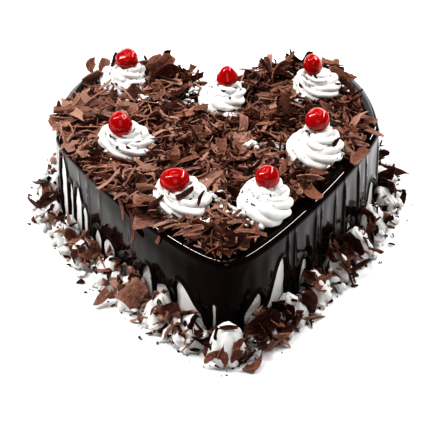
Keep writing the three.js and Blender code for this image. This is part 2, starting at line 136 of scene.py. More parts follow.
# Flakes that stand out: both ends x, y, z, half width, roll in degrees, bend, tone.
LAID = [
    (-113.5, 16.5, 79.5, -111.5, 18.5, 88.0, 2.6, 60, 0.2, 0.70),
    (-119.5, 13.5, 76.5, -110.5, -1.5, 77.0, 3.2, 12, 0.3, 0.72),
    (-112.0, 10.0, 78.5, -100.0, -1.5, 78.0, 3.6, -20, -0.4, 0.80),
    (-92.5, -29.0, 78.5, -81.5, -2.0, 79.5, 4.2, 25, 0.5, 0.95),
    (-97.0, -8.0, 78.5, -88.0, 8.0, 79.0, 3.2, -15, 0.3, 0.62),
    (-84.5, -62.5, 77.5, -76.0, -29.0, 79.5, 4.6, -30, 0.3, 0.42),
    (-78.0, -55.0, 78.0, -68.5, -43.0, 80.0, 4.0, 20, -0.3, 0.58),
    (-60.0, -97.0, 76.5, -38.0, -98.0, 77.5, 11.0, 32, 0.22, 0.74),
    (-64.5, -84.0, 77.5, -59.8, -99.5, 53.0, 2.8, 78, 0.35, 0.30),
    (-71.0, -77.5, 77.0, -66.5, -88.5, 62.0, 2.2, 80, 0.3, 0.50),
    (-44.5, -113.5, 71.5, -33.5, -106.5, 76.5, 2.6, 24, 0.2, 0.62),
    (-45.4, -113.2, 62.0, -43.2, -114.6, 69.5, 1.5, 80, 0.0, 0.60),
    (-31.8, -98.9, 88.0, -19.4, -91.8, 91.6, 2.0, 40, 0.15, 0.22),
    (-17.5, -101.0, 84.5, -12.6, -93.8, 91.0, 1.5, 60, 0.25, 0.20),
    (95.0, -1.5, 78.5, 115.5, -21.0, 77.5, 4.2, -18, 0.3, 0.55),
    (86.0, -13.0, 79.0, 107.0, -8.0, 79.5, 3.0, 24, -0.3, 0.28),
    (99.0, 4.0, 78.0, 112.0, -6.0, 80.0, 2.6, 30, 0.4, 0.66),
    (54.5, 69.0, 90.0, 64.5, 68.0, 81.0, 2.4, 60, 0.2, 0.08),
    (52.0, 74.0, 86.0, 60.0, 71.0, 79.0, 1.8, 50, 0.1, 0.12),
    (77.5, 66.5, 84.5, 91.0, 63.5, 82.0, 2.2, 15, 0.2, 0.60),
    (83.5, 56.5, 84.5, 100.5, 50.5, 77.5, 3.4, 35, 0.3, 0.34),
    (88.0, 47.0, 82.5, 98.0, 38.0, 78.0, 3.0, 45, 0.2, 0.16),
    (77.2, -44.5, 85.0, 82.2, -35.5, 89.5, 1.8, 55, 0.2, 0.14),
    (89.5, -48.5, 76.0, 102.5, -34.5, 78.5, 4.8, 20, 0.2, 0.52),
    (52.0, -69.5, 77.5, 64.5, -88.5, 77.0, 6.6, -14, 0.25, 0.58),
    (60.0, -60.0, 78.5, 73.0, -62.0, 78.0, 3.6, 22, -0.3, 0.40),
    (4.5, -83.0, 86.0, 13.5, -99.0, 77.0, 4.4, 70, 0.5, 0.10),
    (-8.5, -103.0, 80.0, 1.0, -111.0, 77.0, 3.4, 50, 0.4, 0.30),
    (-3.0, -86.0, 83.0, 4.5, -94.0, 76.0, 3.0, 75, 0.3, 0.02),
    (8.5, 19.5, 82.0, 9.5, 17.0, 89.0, 1.5, 85, 0.0, 0.10),
    (-18.0, 14.0, 80.0, -5.0, 17.5, 81.0, 2.6, 30, 0.2, 0.56),
    (-89.5, 64.0, 77.5, -88.5, 69.0, 91.0, 4.4, 0, 0.2, 0.72),
    (-80.5, 64.0, 75.5, -79.0, 68.5, 89.5, 4.6, 5, 0.2, 0.80),
    (-74.5, 59.5, 88.0, -70.5, 62.5, 98.0, 2.0, 0, 0.1, 0.04),
    (-36.5, 79.0, 78.0, -33.5, 80.5, 87.0, 2.6, 75, 0.2, 0.18),
    (-49.0, 74.0, 80.0, -38.0, 77.0, 84.0, 3.4, 30, 0.3, 0.50),
    (-46.0, 48.0, 82.0, -36.0, 39.0, 79.5, 4.2, 40, -0.2, 0.48),
    (-43.5, 60.5, 84.5, -34.5, 58.0, 83.5, 2.2, 20, 0.2, 0.16),
    (-69.0, -114.0, 11.0, -55.5, -111.5, 27.0, 7.8, 50, 0.15, 0.66),
    (-83.5, -88.5, 7.5, -71.0, -80.5, 18.5, 4.6, 40, 0.2, 0.66),
    (-88.5, -106.5, 2.5, -79.5, -98.0, 11.5, 4.4, 30, 0.3, 0.72),
    (15.5, -156.0, 14.5, 34.0, -145.0, 26.0, 7.0, 52, 0.2, 0.08),
    (10.5, -176.0, 1.5, 24.0, -165.5, 5.5, 5.0, -15, 0.3, 0.46),
    (-10.5, -169.0, 14.0, 0.5, -175.5, 6.5, 4.6, 40, 0.25, 0.46),
    (-5.4, -160.4, 27.0, 7.0, -160.6, 26.8, 2.2, 10, 0.1, 0.16),
    (-8.6, -164.2, 19.5, -6.6, -158.0, 25.2, 1.6, 50, 0.4, 0.02),
    (4.2, -170.6, 13.5, 10.4, -161.8, 19.0, 3.2, 45, 0.3, 0.42),
    (-15.5, -168.0, 6.0, -8.5, -172.0, 12.5, 4.0, 50, 0.3, 0.50),
    (1.5, -174.0, 8.0, 8.5, -171.5, 17.0, 3.8, 60, 0.3, 0.30),
    (-6.5, -173.5, 11.0, -3.5, -172.0, 19.0, 1.6, 80, 0.1, 0.30),
    (85.5, -62.5, 26.0, 98.5, -73.5, 14.0, 5.2, 50, 0.5, 0.05),
    (72.0, -89.5, 9.0, 83.5, -73.5, 26.0, 4.8, 60, 0.5, 0.10),
    (82.5, -88.5, 6.5, 103.0, -74.0, 12.0, 2.0, 30, 0.1, 0.12),
    (-126.5, 13.0, 17.5, -119.5, -6.0, 15.0, 4.2, -10, 0.2, 0.60),
]
ROLL = {"from": (-116.4, 12.2, 83.8), "to": (-93.4, 12.8, 84.8), "radius": 1.9}

# Cream that strayed between the flakes: x, y, length, width, turn in degrees.
SMEARS = [
    (-18.0, 37.0, 7.0, 3.2, 60), (-21.5, 26.5, 6.0, 3.0, 20), (-46.5, 33.5, 5.0, 2.4, 0),
    (-36.0, 27.5, 4.0, 1.6, 30), (55.5, 54.0, 6.5, 3.0, 100), (31.0, -26.5, 7.5, 3.6, 10),
    (41.0, -32.5, 7.0, 3.4, -40), (22.5, -24.5, 4.0, 1.6, 10), (-3.0, -78.5, 5.5, 2.2, 30),
    (2.5, -99.0, 6.0, 3.0, 80), (-1.5, -88.0, 4.0, 1.8, 120), (9.5, -104.0, 5.0, 2.2, 60),
    (-48.0, -26.0, 3.5, 1.4, 20), (-59.0, 31.0, 8.0, 3.0, 0), (58.5, 26.0, 7.0, 2.4, 10),
    (-12.0, -112.5, 6.5, 2.8, -20), (20.5, -114.0, 6.0, 3.2, -35), (8.0, 9.0, 4.0, 1.4, 0),
]

# Border of piped dollops round the foot, and the bank of cream and flakes between them.
BORDER = {"pairs": 14, "out": 7.4, "radius": 11.6, "height": (18, 24), "lean": 3.0}
TUCK = {"from": 130, "to": 185, "in": 2.4}
TIP_DOLLOP = {"out": 11, "radius": 12.8, "height": 28}
TIP_CROWN = {"half": 18, "y": -140, "z": 13}
BANK = {"out": 9.0, "height": 13.0}
THIN_RIGHT = (35, 80)

# Camera: distance, elevation, azimuth, roll and target of the photograph's view.
VIEW = {"distance": 1599.2, "elevation": 37.99, "azimuth": -1.90, "roll": -0.31, "lens": 185.05}
VIEW_TARGET = (-3.2, 0.0, -3.0)

# Softboxes besides the overhead one, in metres: name, middles of two opposite edges, width, power in W.
SOFTBOXES = [
    ("left", (-1.34, 0.20, 0.72), (-0.42, -0.18, 1.44), 0.12, 17.0),
    ("right", (0.95, -0.22, 1.10), (0.72, 1.04, 0.70), 0.12, 13.0),
    ("front", (-0.45, -1.6, 1.1), (0.45, -1.6, 1.1), 0.9, 3.2),
    ("backdrop", (-1.0, 1.6, 0.30), (1.0, 1.6, 0.30), 0.5, 5.0),
    ("back right", (0.35, 1.55, 0.66), (1.25, 1.20, 0.66), 0.6, 1.7),
    ("back left", (-1.25, 1.20, 0.66), (-0.35, 1.55, 0.66), 0.6, 1.7),
]
OVERHEAD = {"y": 0.20, "z": 1.6, "power": 6.2}
LIGHT_TARGET = (0.0, 0.0, 0.05)
WORLD_LIGHT = 0.08
FLOOR = {"half": 4.0, "z": -0.0002}

# Seeds of the random draws.
SPECKS_SEED, FLAKES_SEED, BORDER_SEED = 5, 11, 23


def mix(a, b, t):
    """Value between a and b, straight with t."""
    return a + (b - a) * t


def smooth(t, low=0.0, high=1.0):
    """Soft step from 0 at low to 1 at high."""
    x = np.clip((t - low) / (high - low), 0, 1)
    return x * x * (3 - 2 * x)


def quarter_round(t):
    """Quarter circle from 0 at 0 to 1 at 1, level before and after."""
    return np.sqrt(np.clip(1 - (1 - np.clip(t, 0, 1)) ** 2, 0, 1))


def draw(i, k):
    """Repeatable draw between 0 and 1 for piece i, use k."""
    v = np.sin(np.asarray(i) * 12.9898 + k * 78.233 + 1.7) * 43758.5453
    return v - np.floor(v)


def unit(v):
    """Vectors of length 1 in the same directions."""
    return v / np.maximum(np.linalg.norm(v, axis=-1, keepdims=True), 1e-12)


def heart_outline(steps=240):
    """Three cubic curves from the tip over the flank and the lobe to the notch, then their mirror image."""
    t = np.arange(steps)[:, None] / steps
    weights = [(1 - t) ** 3, 3 * t * (1 - t) ** 2, 3 * t * t * (1 - t), t ** 3]
    half = [sum(w * np.array(p, float) for w, p in zip(weights, span)) for span in SPANS]
    half = np.vstack(half + [np.array([[0.0, NOTCH_Y]])])
    points = np.vstack([half, half[-2::-1] * (-1, 1)])
    length = np.concatenate([[0], np.cumsum(np.hypot(*np.diff(points, axis=0).T))])
    return points, length


OUTLINE, RUN = heart_outline()
ROUND = RUN[-1]


def edge(s, off=0.0):
    """Point of the outline at s, moved outward by off along the normal of a short chord."""
    def at(w):
        w = np.mod(w, ROUND)
        return np.stack([np.interp(w, RUN, OUTLINE[:, 0]), np.interp(w, RUN, OUTLINE[:, 1])], axis=-1)
    s = np.asarray(s, float)
    chord = unit(at(s + 0.8) - at(s - 0.8))
    outward = np.stack([chord[..., 1], -chord[..., 0]], axis=-1)
    return at(s) + outward * np.asarray(off, float)[..., None]


def depth_at(xy):
    """Distance inside the rim, negative outside, and the nearest s, for many points."""
    depth, nearest = np.empty(len(xy)), np.empty(len(xy))
    normals = unit(edge(RUN, 1.0) - edge(RUN, 0.0))
    for start in range(0, len(xy), 4000):
        part = xy[start:start + 4000]
        gap = part[:, None, :] - OUTLINE[None]
        k = np.argmin((gap ** 2).sum(-1), axis=1)
        near = gap[np.arange(len(part)), k]
        side = (near * normals[k]).sum(-1)
        depth[start:start + 4000] = -np.sign(side) * np.linalg.norm(near, axis=-1)
        nearest[start:start + 4000] = RUN[k]
    return depth, nearest


def signed_side(s):
    """Length along the side from the tip, negative on the left."""
    return np.where(s > ROUND / 2, s - ROUND, s)


def from_place(s, place):
    """Length along the side from a place, the short way round."""
    return np.mod(s - place + ROUND / 2, ROUND) - ROUND / 2


def off_notch(s):
    """True where s isn't in the notch between the lobes."""
    return np.abs(np.mod(s, ROUND) - ROUND / 2) > NOTCH_CLEAR


def bare_strip(s):
    """Width of the bare strip inside the rim at s, straight between the listed places."""
    return np.interp(signed_side(s), *np.array(BARE, float).T)


def strewn_edge(s):
    """Inner border of the bare strip for the strewn flakes, which hang over the rim where they lie thick."""
    return bare_strip(s) + np.interp(signed_side(s), *np.array(STREWN, float).T)


def core_height(x, y):
    """Height of the flake layer: two slow waves between the low and the high value, and a few mounds."""
    wave = 0.5 + 0.25 * np.sin(x * 0.11 + y * 0.05) + 0.25 * np.sin(y * 0.13 - x * 0.04 + 2)
    height = mix(CORE_LOW, CORE_HIGH, wave)
    for cx, cy, r, h in MOUNDS:
        height = height + h * np.exp(-2 * ((x - cx) ** 2 + (y - cy) ** 2) / r ** 2)
    return height


def swirl_gap(xy):
    """Distance from the nearest swirl's foot, negative over it."""
    gaps = [np.hypot(xy[:, 0] - w[0], xy[:, 1] - w[1]) - w[2] for w in SWIRLS]
    return np.min(gaps, axis=0)


def angles_round(n):
    """Row of n angles, equal steps round a circle."""
    return np.linspace(0, TAU, n, endpoint=False)[None]


def round_quads(rings, n):
    """Quads between rings of n corners each, the last corner joined to the first."""
    i = np.arange(n)
    j = (i + 1) % n
    k = np.arange(rings - 1)[:, None] * n
    return np.stack([k + i, k + j, k + n + j, k + n + i], axis=-1).reshape(-1, 4)


def closed_loft(rings, low, high):
    """Closed surface through rings (rows, corners, 3) with a point at each end."""
    rows, n = rings.shape[:2]
    verts = np.vstack([rings.reshape(-1, 3), [low], [high]])
    i = np.arange(n)
    j = (i + 1) % n
    top = (rows - 1) * n
    foot_fan = np.stack([np.full(n, rows * n), j, i], axis=-1)
    head_fan = np.stack([np.full(n, rows * n + 1), top + i, top + j], axis=-1)
    return outward_faces(verts, [round_quads(rows, n), np.vstack([foot_fan, head_fan])])


def outward_faces(verts, faces):
    """Turn all faces round if the closed surface has a negative volume."""
    volume = 0.0
    for f in faces:
        a = verts[f[:, 0]]
        for k in range(1, f.shape[1] - 1):
            volume += np.einsum("ij,ij->", a, np.cross(verts[f[:, k]], verts[f[:, k + 1]]))
    if volume < 0:
        faces = [f[:, ::-1] for f in faces]
    return verts, faces


def make_piece(name, verts, faces, look, slot, replaced=None, uv=None, tone=None, flat=False):
    """Mesh object in metres from arrays in millimetres, with its finish, riding on the cake."""
    mesh = bpy.data.meshes.new(name)
    mesh.vertices.add(len(verts))
    mesh.vertices.foreach_set("co", (np.asarray(verts) * MM).astype(np.float32).ravel())
    corners = np.concatenate([f.ravel() for f in faces])
    sizes = np.concatenate([np.full(len(f), f.shape[1]) for f in faces])
    mesh.loops.add(len(corners))
    mesh.loops.foreach_set("vertex_index", corners.astype(np.int32))
    mesh.polygons.add(len(sizes))
    starts = np.concatenate([[0], np.cumsum(sizes)[:-1]])
    mesh.polygons.foreach_set("loop_start", starts.astype(np.int32))
    mesh.polygons.foreach_set("use_smooth", np.full(len(sizes), not flat))
    mesh.update(calc_edges=True)
    mesh.validate()
    if uv is not None:
        layer = mesh.uv_layers.new(name="flake_mm")
        layer.data.foreach_set("uv", uv[corners].astype(np.float32).ravel())
    if tone is not None:
        layer = mesh.attributes.new("tone", "FLOAT", "POINT")
        layer.data.foreach_set("value", tone.astype(np.float32))
    mesh.materials.append(look_of(look))
    piece = bpy.data.objects.new(name, mesh)
    bpy.context.scene.collection.objects.link(piece)
    if replaced:
        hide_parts(replaced)
    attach(piece, "root")


def new_material(name):
    """Material with a Principled shader and its output; returns it with the tree and the shader."""
    material = bpy.data.materials.new(name)
    material.use_nodes = True
    tree = material.node_tree
    tree.nodes.clear()
    shader = tree.nodes.new("ShaderNodeBsdfPrincipled")
    output = tree.nodes.new("ShaderNodeOutputMaterial")
    tree.links.new(shader.outputs["BSDF"], output.inputs["Surface"])
    return material, tree, shader


def set_inputs(node, **values):
    """Set sockets of a node by name, with _ for each space of the name."""
    for key, value in values.items():
        node.inputs[key.replace("_", " ")].default_value = value
    return node


def math_output(tree, operation, *values, clamp=False):
    """Output of a Math node whose inputs are numbers or other nodes' outputs."""
    node = tree.nodes.new("ShaderNodeMath")
    node.operation = operation
    node.use_clamp = clamp
    for socket, value in zip(node.inputs, values):
        if isinstance(value, bpy.types.NodeSocket):
            tree.links.new(value, socket)
        else:
            socket.default_value = value
    return node.outputs[0]


def range_output(tree, value, **limits):
    """Value taken straight from one range to another and kept within it."""
    node = set_inputs(tree.nodes.new("ShaderNodeMapRange"), **limits)
    tree.links.new(value, node.inputs["Value"])
    return node.outputs["Result"]


def stretched(tree, where, scale):
    """Coordinates times a scale for each axis."""
    node = set_inputs(tree.nodes.new("ShaderNodeMapping"), Scale=scale)
    tree.links.new(where, node.inputs["Vector"])
    return node.outputs["Vector"]


def mottle_group():
    """Soft uneven mask: two noises of different scale, mixed and stretched to use 0 to 1."""
    if "cake_mottle" in bpy.data.node_groups:
        return bpy.data.node_groups["cake_mottle"]
    tree = bpy.data.node_groups.new("cake_mottle", "ShaderNodeTree")
    tree.interface.new_socket(name="Coordinates", in_out="INPUT", socket_type="NodeSocketVector")
    for name, default in (("Scale", 40.0), ("Fine Scale", 300.0), ("Contrast", 1.5)):
        socket = tree.interface.new_socket(name=name, in_out="INPUT", socket_type="NodeSocketFloat")
        socket.default_value = default
    tree.interface.new_socket(name="Mask", in_out="OUTPUT", socket_type="NodeSocketFloat")
    given, result = tree.nodes.new("NodeGroupInput"), tree.nodes.new("NodeGroupOutput")
    both = set_inputs(tree.nodes.new("ShaderNodeMix"), Factor=0.35)
    for scale, detail, side in (("Scale", 3, "A"), ("Fine Scale", 2, "B")):
        noise = set_inputs(tree.nodes.new("ShaderNodeTexNoise"), Detail=detail)
        tree.links.new(given.outputs["Coordinates"], noise.inputs["Vector"])
        tree.links.new(given.outputs[scale], noise.inputs["Scale"])
        tree.links.new(noise.outputs["Fac"], both.inputs[side])
    centred = math_output(tree, "SUBTRACT", both.outputs["Result"], 0.5)
    mask = math_output(tree, "MULTIPLY_ADD", centred, given.outputs["Contrast"], 0.5, clamp=True)
    tree.links.new(mask, result.inputs["Mask"])
    return tree


def mottled(tree, where, scale, fine, contrast):
    """Mask of the mottle group on the given coordinates."""
    node = tree.nodes.new("ShaderNodeGroup")
    node.node_tree = mottle_group()
    set_inputs(node, Scale=scale, Fine_Scale=fine, Contrast=contrast)
    tree.links.new(where, node.inputs["Coordinates"])
    return node.outputs["Mask"]


def add_bump(tree, shader, height, strength, distance):
    """Bump from a height output into the shader's normal; distance in millimetres."""
    bump = set_inputs(tree.nodes.new("ShaderNodeBump"), Strength=strength, Distance=distance * MM)
    tree.links.new(height, bump.inputs["Height"])
    tree.links.new(bump.outputs["Normal"], shader.inputs["Normal"])


def colour_mix(tree, mask, first, second):
    """Colour that goes from first to second with the mask."""
    node = tree.nodes.new("ShaderNodeMix")
    node.data_type = "RGBA"
    set_inputs(node, A=(*first, 1), B=(*second, 1))
    tree.links.new(mask, node.inputs["Factor"])
    return node.outputs["Result"]


def vary(tree, shader, mask, first, second, rough):
    """Base colour from first to second and roughness over its range, both with the mask."""
    tree.links.new(colour_mix(tree, mask, first, second), shader.inputs["Base Color"])
    tree.links.new(range_output(tree, mask, To_Min=rough[0], To_Max=rough[1]), shader.inputs["Roughness"])


def object_coordinates(tree):
    """Coordinates of the piece itself, in metres."""
    return tree.nodes.new("ShaderNodeTexCoord").outputs["Object"]


def cream_material(colours):
    """Whipped cream: near white, faintly uneven in tone, with small air marks and light in its depth."""
    material, tree, shader = new_material("whipped_cream")
    where = object_coordinates(tree)
    light = tuple(colours.cream)
    deep = tuple(c * k for c, k in zip(light, (0.93, 0.92, 0.90)))
    vary(tree, shader, mottled(tree, where, 60.0, 420.0, 2.0), deep, light, (0.38, 0.55))
    add_bump(tree, shader, mottled(tree, where, 500.0, 1500.0, 1.6), 0.35, 0.25)
    set_inputs(shader, Subsurface_Weight=0.15, Subsurface_Radius=(1.0, 0.8, 0.6),
               Subsurface_Scale=1.5 * MM, IOR=1.4)
    return material


def glaze_material(colours):
    """Poured chocolate glaze: almost black, wet gloss with broad soft waves, strongest on the rim and at
    glancing angles.
    """
    material, tree, shader = new_material("chocolate_glaze")
    where = object_coordinates(tree)
    dark = tuple(colours.glaze)
    warm = tuple(c * k for c, k in zip(dark, (3.2, 2.2, 2.0)))
    vary(tree, shader, mottled(tree, where, 18.0, 120.0, 2.2), dark, warm, (0.04, 0.12))
    waves = mottled(tree, stretched(tree, where, (1.0, 1.0, 0.22)), 70.0, 260.0, 1.2)
    add_bump(tree, shader, waves, 0.30, 0.6)
    glancing = set_inputs(tree.nodes.new("ShaderNodeLayerWeight"), Blend=0.5)
    gloss = range_output(tree, glancing.outputs["Facing"], From_Min=0.40, From_Max=0.74)
    place = tree.nodes.new("ShaderNodeSeparateXYZ")
    tree.links.new(where, place.inputs["Vector"])
    rim = range_output(tree, place.outputs["Z"], From_Min=(HEIGHT - 3.0) * MM,
                       From_Max=(HEIGHT - 1.8) * MM, To_Max=0.5)
    tree.links.new(math_output(tree, "MAXIMUM", gloss, rim), shader.inputs["Coat Weight"])
    set_inputs(shader, IOR=1.12, Coat_IOR=1.6, Coat_Roughness=0.07)
    return material


def cherry_material(colours):
    """Glace cherry: deep red skin with a syrup coat, lighter where the flesh shows through."""
    material, tree, shader = new_material("glace_cherry")
    skin = mottled(tree, object_coordinates(tree), 110.0, 600.0, 2.0)
    red = tuple(colours.cherry)
    vary(tree, shader, skin, tuple(c * 0.62 for c in red), red, (0.10, 0.22))
    add_bump(tree, shader, skin, 0.25, 0.5)
    set_inputs(shader, Subsurface_Weight=0.12, Subsurface_Radius=(1.0, 0.05, 0.03),
               Subsurface_Scale=2.0 * MM, IOR=1.34, Coat_Weight=0.35, Coat_Roughness=0.03)
    return material


def flake_material(colours):
    """Shaved chocolate: tone and warmth by flake, with streaks along it from the blade that shaved it.

    The tone and a part of the streaks run up a ramp of four browns; the warmth goes by where the
    flake's own places start.
    """
    material, tree, shader = new_material("shaved_chocolate")
    # The tone attribute holds each flake's own tone and a painted highlight along its edges.
    tone = tree.nodes.new("ShaderNodeAttribute")
    tone.attribute_name = "tone"
    along = tree.nodes.new("ShaderNodeUVMap")
    along.uv_map = "flake_mm"
    streaks = mottled(tree, stretched(tree, along.outputs["UV"], (0.30, 1.0, 1.0)), 0.9, 3.2, 3.2)
    streaky = math_output(tree, "MULTIPLY_ADD", streaks, STREAKS["share"], tone.outputs["Fac"])
    ramp = tree.nodes.new("ShaderNodeValToRGB")
    mid = np.array(colours.flake)
    for place, times, plus in BROWNS:
        stop = ramp.color_ramp.elements.new(min(place / STREAKS["most"], 1.0))
        stop.color = (*tuple(mid * times + plus), 1)
    ramp.color_ramp.elements.remove(ramp.color_ramp.elements[0])
    ramp.color_ramp.elements.remove(ramp.color_ramp.elements[-1])
    scaled = math_output(tree, "MULTIPLY_ADD", streaky, 1 / STREAKS["most"], STREAKS["shift"])
    tree.links.new(scaled, ramp.inputs["Fac"])
    batch = mottled(tree, along.outputs["UV"], 0.021, 0.05, 3.5)
    hue = tree.nodes.new("ShaderNodeMix")
    hue.data_type = "RGBA"
    hue.blend_type = "MULTIPLY"
    hue.inputs["Factor"].default_value = 1.0
    tree.links.new(ramp.outputs["Color"], hue.inputs["A"])
    warmth = colour_mix(tree, batch, (1.0, 0.93, 0.88), (1.0, 1.10, 1.08))
    tree.links.new(warmth, hue.inputs["B"])
    tree.links.new(hue.outputs["Result"], shader.inputs["Base Color"])
    tree.links.new(range_output(tree, streaks, To_Min=0.36, To_Max=0.60), shader.inputs["Roughness"])
    add_bump(tree, shader, streaks, 0.6, 0.4)
    set_inputs(shader, IOR=1.19)
    return material


def core_material(colours):
    """Dark bed of fine chocolate crumbs under the flakes, its dark partly the chocolate's own and partly
    painted shade between the flakes.
    """
    material, tree, shader = new_material("crumb_bed")
    grain = mottled(tree, object_coordinates(tree), 320.0, 1100.0, 3.0)
    # Near black: painted shade in the gaps between the flakes as well as the crumbs' own dark brown.
    dark, brown = (tuple(c * k for c in colours.flake) for k in (0.02, 0.14))
    vary(tree, shader, grain, dark, brown, (0.5, 0.8))
    add_bump(tree, shader, grain, 0.8, 0.8)
    set_inputs(shader, IOR=1.2)
    return material


def floor_material():
    """Plain pale floor with a barely uneven tone."""
    material, tree, shader = new_material("pale_floor")
    tone = mottled(tree, object_coordinates(tree), 3.0, 40.0, 1.0)
    pale = colour_mix(tree, tone, (0.86, 0.86, 0.87), (0.88, 0.88, 0.88))
    tree.links.new(pale, shader.inputs["Base Color"])
    set_inputs(shader, Roughness=0.7)
    return material


def look_of(name):
    """The material of that name, made once with the scene's colours and then found again."""
    makers = {"whipped_cream": cream_material, "chocolate_glaze": glaze_material,
              "glace_cherry": cherry_material, "shaved_chocolate": flake_material, "crumb_bed": core_material}
    return bpy.data.materials.get(name) or makers[name](bpy.context.scene.heart_cake_colours)


def add_cream(name, shell, replaced=None):
    """One piece of whipped cream from a shell's corners and faces."""
    make_piece(name, *shell, "whipped_cream", "cream", replaced)


def add_flakes(name, *sets):
    """One piece of shaved chocolate made of sets of plates."""
    verts, faces, uv, tone = join_plates(sets)
    make_piece(name, verts, faces, "shaved_chocolate", "chocolate", uv=uv, tone=tone, flat=True)


def window_table():
    """The measured windows and the ruled ones at the back."""
    span = (ROUND + BACK_WINDOWS["to"] - BACK_WINDOWS["from"]) / BACK_WINDOWS["count"]
    back = []
    for i in range(BACK_WINDOWS["count"]):
        s = BACK_WINDOWS["from"] + span * (i + 0.2 + 0.4 * draw(i, 1))
        peak = mix(*BACK_WINDOWS["peak"], draw(i, 3))
        width = mix(*BACK_WINDOWS["width"], draw(i, 2))
        back.append((s, s + width, peak - 4, 0.3 + 0.4 * draw(i, 4), peak, peak - 3))
    return WINDOWS + back


def window_depth(s, z):
    """Signed distance into the nearest window, positive inside, for arrays of s and z.

    The ceiling of a window runs through its left height, its peak and its right height, and its two
    upper corners are rounded by a quarter circle; its sides waver a little and run down to the foot.
    """
    depth = np.full(s.shape, -30.0)
    for number, (a, b, left, f, peak, right) in enumerate(window_table()):
        width = b - a
        x = from_place(s, (a + b) / 2) + width / 2
        near = (x > -9) & (x < width + 9) & (z < peak + 9)
        u = np.linspace(0, 1, 41)
        ceiling = np.where(u < f, mix(left, peak, smooth(u / f)), mix(peak, right, smooth((u - f) / (1 - f))))
        corner = min(3.2, width / 2)
        side = np.minimum(u, 1 - u) * width
        ceiling = ceiling - corner + np.sqrt(np.maximum(corner ** 2 - np.maximum(corner - side, 0) ** 2, 0))
        wall = np.arange(-4, min(left, right) - corner + 0.2, 0.7)
        waver = 0.45 * np.sin(wall * 0.23 + number) * smooth(wall, 30, 4)
        line = np.vstack([
            np.stack([waver, wall], -1), np.stack([u * width, ceiling], -1),
            np.stack([width + waver, wall], -1),
        ])
        px, pz = x[near], z[near]
        if not len(px):
            continue
        far = np.sqrt(((px[:, None] - line[:, 0]) ** 2 + (pz[:, None] - line[:, 1]) ** 2).min(axis=1))
        shift = 0.45 * np.sin(pz * 0.23 + number) * smooth(pz, 30, 4)
        inside = (px > shift) & (px < width + shift)
        inside &= pz < np.interp(px / width, u, ceiling)
        depth[near] = np.maximum(depth[near], np.where(inside, far, -far))
    return depth


def glaze_relief(s, z, ridge):
    """Offset of the glaze's outside from the outline at s and z.

    Level glaze carries slow upright waves and the rivulets, each a bell across s that wanders and
    fades with height; within 1.7 mm of a window it thickens to a bead and then rounds off like a
    quarter circle, and inside the window it dips behind the cream coat.
    """
    depth = window_depth(s, z)
    waves = 0.16 * np.sin(s * 0.21 + 0.9 * np.sin(z * 0.05)) + 0.10 * np.sin(s * 0.47 + z * 0.03 + 2)
    side = signed_side(s)
    flank = smooth(side, 5, -30)
    slant = 0.7 * np.sin(0.03 * (side + 1.6 * z + 38)) * flank * smooth(side, -185, -150)
    off = (waves * (1 - 0.75 * flank) + slant) * smooth(z, 70, 52)
    for place, height, width in RIVULETS:
        x = from_place(s, place) - 0.5 * np.sin(z * 0.09 + place)
        off = off + ridge * height * (1 - 0.6 * flank) * np.exp(-(x / width) ** 2) * smooth(z, 71, 56)
    off = off + 0.75 * np.exp(-((depth + 2.8) / 1.7) ** 2) * smooth(z, 70, 62)
    round_off = 1.7
    t = np.clip((depth + round_off) / round_off, 0, 1)
    off = off - (COAT_IN + 0.2) * (1 - np.sqrt(np.maximum(1 - t * t, 0)))
    return off - (off + 3.0) * smooth(depth, -0.1, 0.6)


def glaze_columns():
    """Places round the outline: fine where the side shows drips, coarser round the back."""
    fine = np.arange(-SIDE_SHOWN, SIDE_SHOWN, 0.45)
    coarse = np.arange(SIDE_SHOWN, ROUND - SIDE_SHOWN, 1.15)
    return np.concatenate([fine, coarse])


def glaze_surface(ridge):
    """Closed shell of the glaze: inner lid, inner wall, foot, outer wall, quarter round rim, top."""
    s = glaze_columns()
    rings = []

    def ring(off, z):
        rings.append(np.concatenate([edge(s, off), np.broadcast_to(z, s.shape)[:, None]], axis=1))

    for z in (HEIGHT - GLAZE_LID, GLAZE_FOOT):
        ring(np.full(s.shape, -GLAZE_WALL), z)
    for z in np.concatenate([[GLAZE_FOOT], np.arange(GLAZE_FOOT + 1.1, HEIGHT - RIM_ROUND, 1.12)]):
        ring(glaze_relief(s, np.full(s.shape, z), ridge), z)
    slump = RIM_ROUND * (1 + 1.1 * smooth(np.minimum(s, ROUND - s), 185, 225))
    for angle in np.linspace(0, np.pi / 2, 9):
        z = HEIGHT - RIM_ROUND + RIM_ROUND * np.sin(angle)
        waves = glaze_relief(s, np.full(s.shape, z), ridge) * np.cos(angle)
        ring(waves - slump * (1 - np.cos(angle)), z)
    rim = edge(s, -slump)
    for f in (0.975, 0.94, 0.90, 0.85, 0.78, 0.64, 0.4, 0.15):
        xy = mix(np.array(HUB), rim, f)
        x, y = xy.T
        ripple = 0.14 * np.sin(x * 0.16 + 1.4 * np.sin(y * 0.07)) + 0.10 * np.sin(y * 0.23 + x * 0.05)
        rings.append(np.stack([x, y, HEIGHT - 0.1 + ripple * smooth(1 - f, 0, 0.05)], axis=1))
    return closed_loft(np.array(rings), (*HUB, HEIGHT - GLAZE_LID), (*HUB, HEIGHT - 0.1))


def coat_surface():
    """Cream coat of the cake: an upright wall just inside the glaze, spread in slow uneven strokes."""
    s = np.arange(0, ROUND - 1, 1.6)
    rings = []
    for z in np.concatenate([[0.0, 0.8], np.linspace(4, COAT_TOP, 22)]):
        strokes = 0.22 * np.sin(s * 0.19 + 1.2 * np.sin(z * 0.11))
        strokes = strokes + 0.16 * np.sin(z * 0.45 + 0.9 * np.sin(s * 0.07))
        off = -COAT_IN - 0.2 + strokes * smooth(z, 0, 4) - 0.5 * (z == 0.0)
        rings.append(np.column_stack([edge(s, off), np.full(len(s), z)]))
    return closed_loft(np.array(rings), (*HUB, 0.0), (*HUB, COAT_TOP))


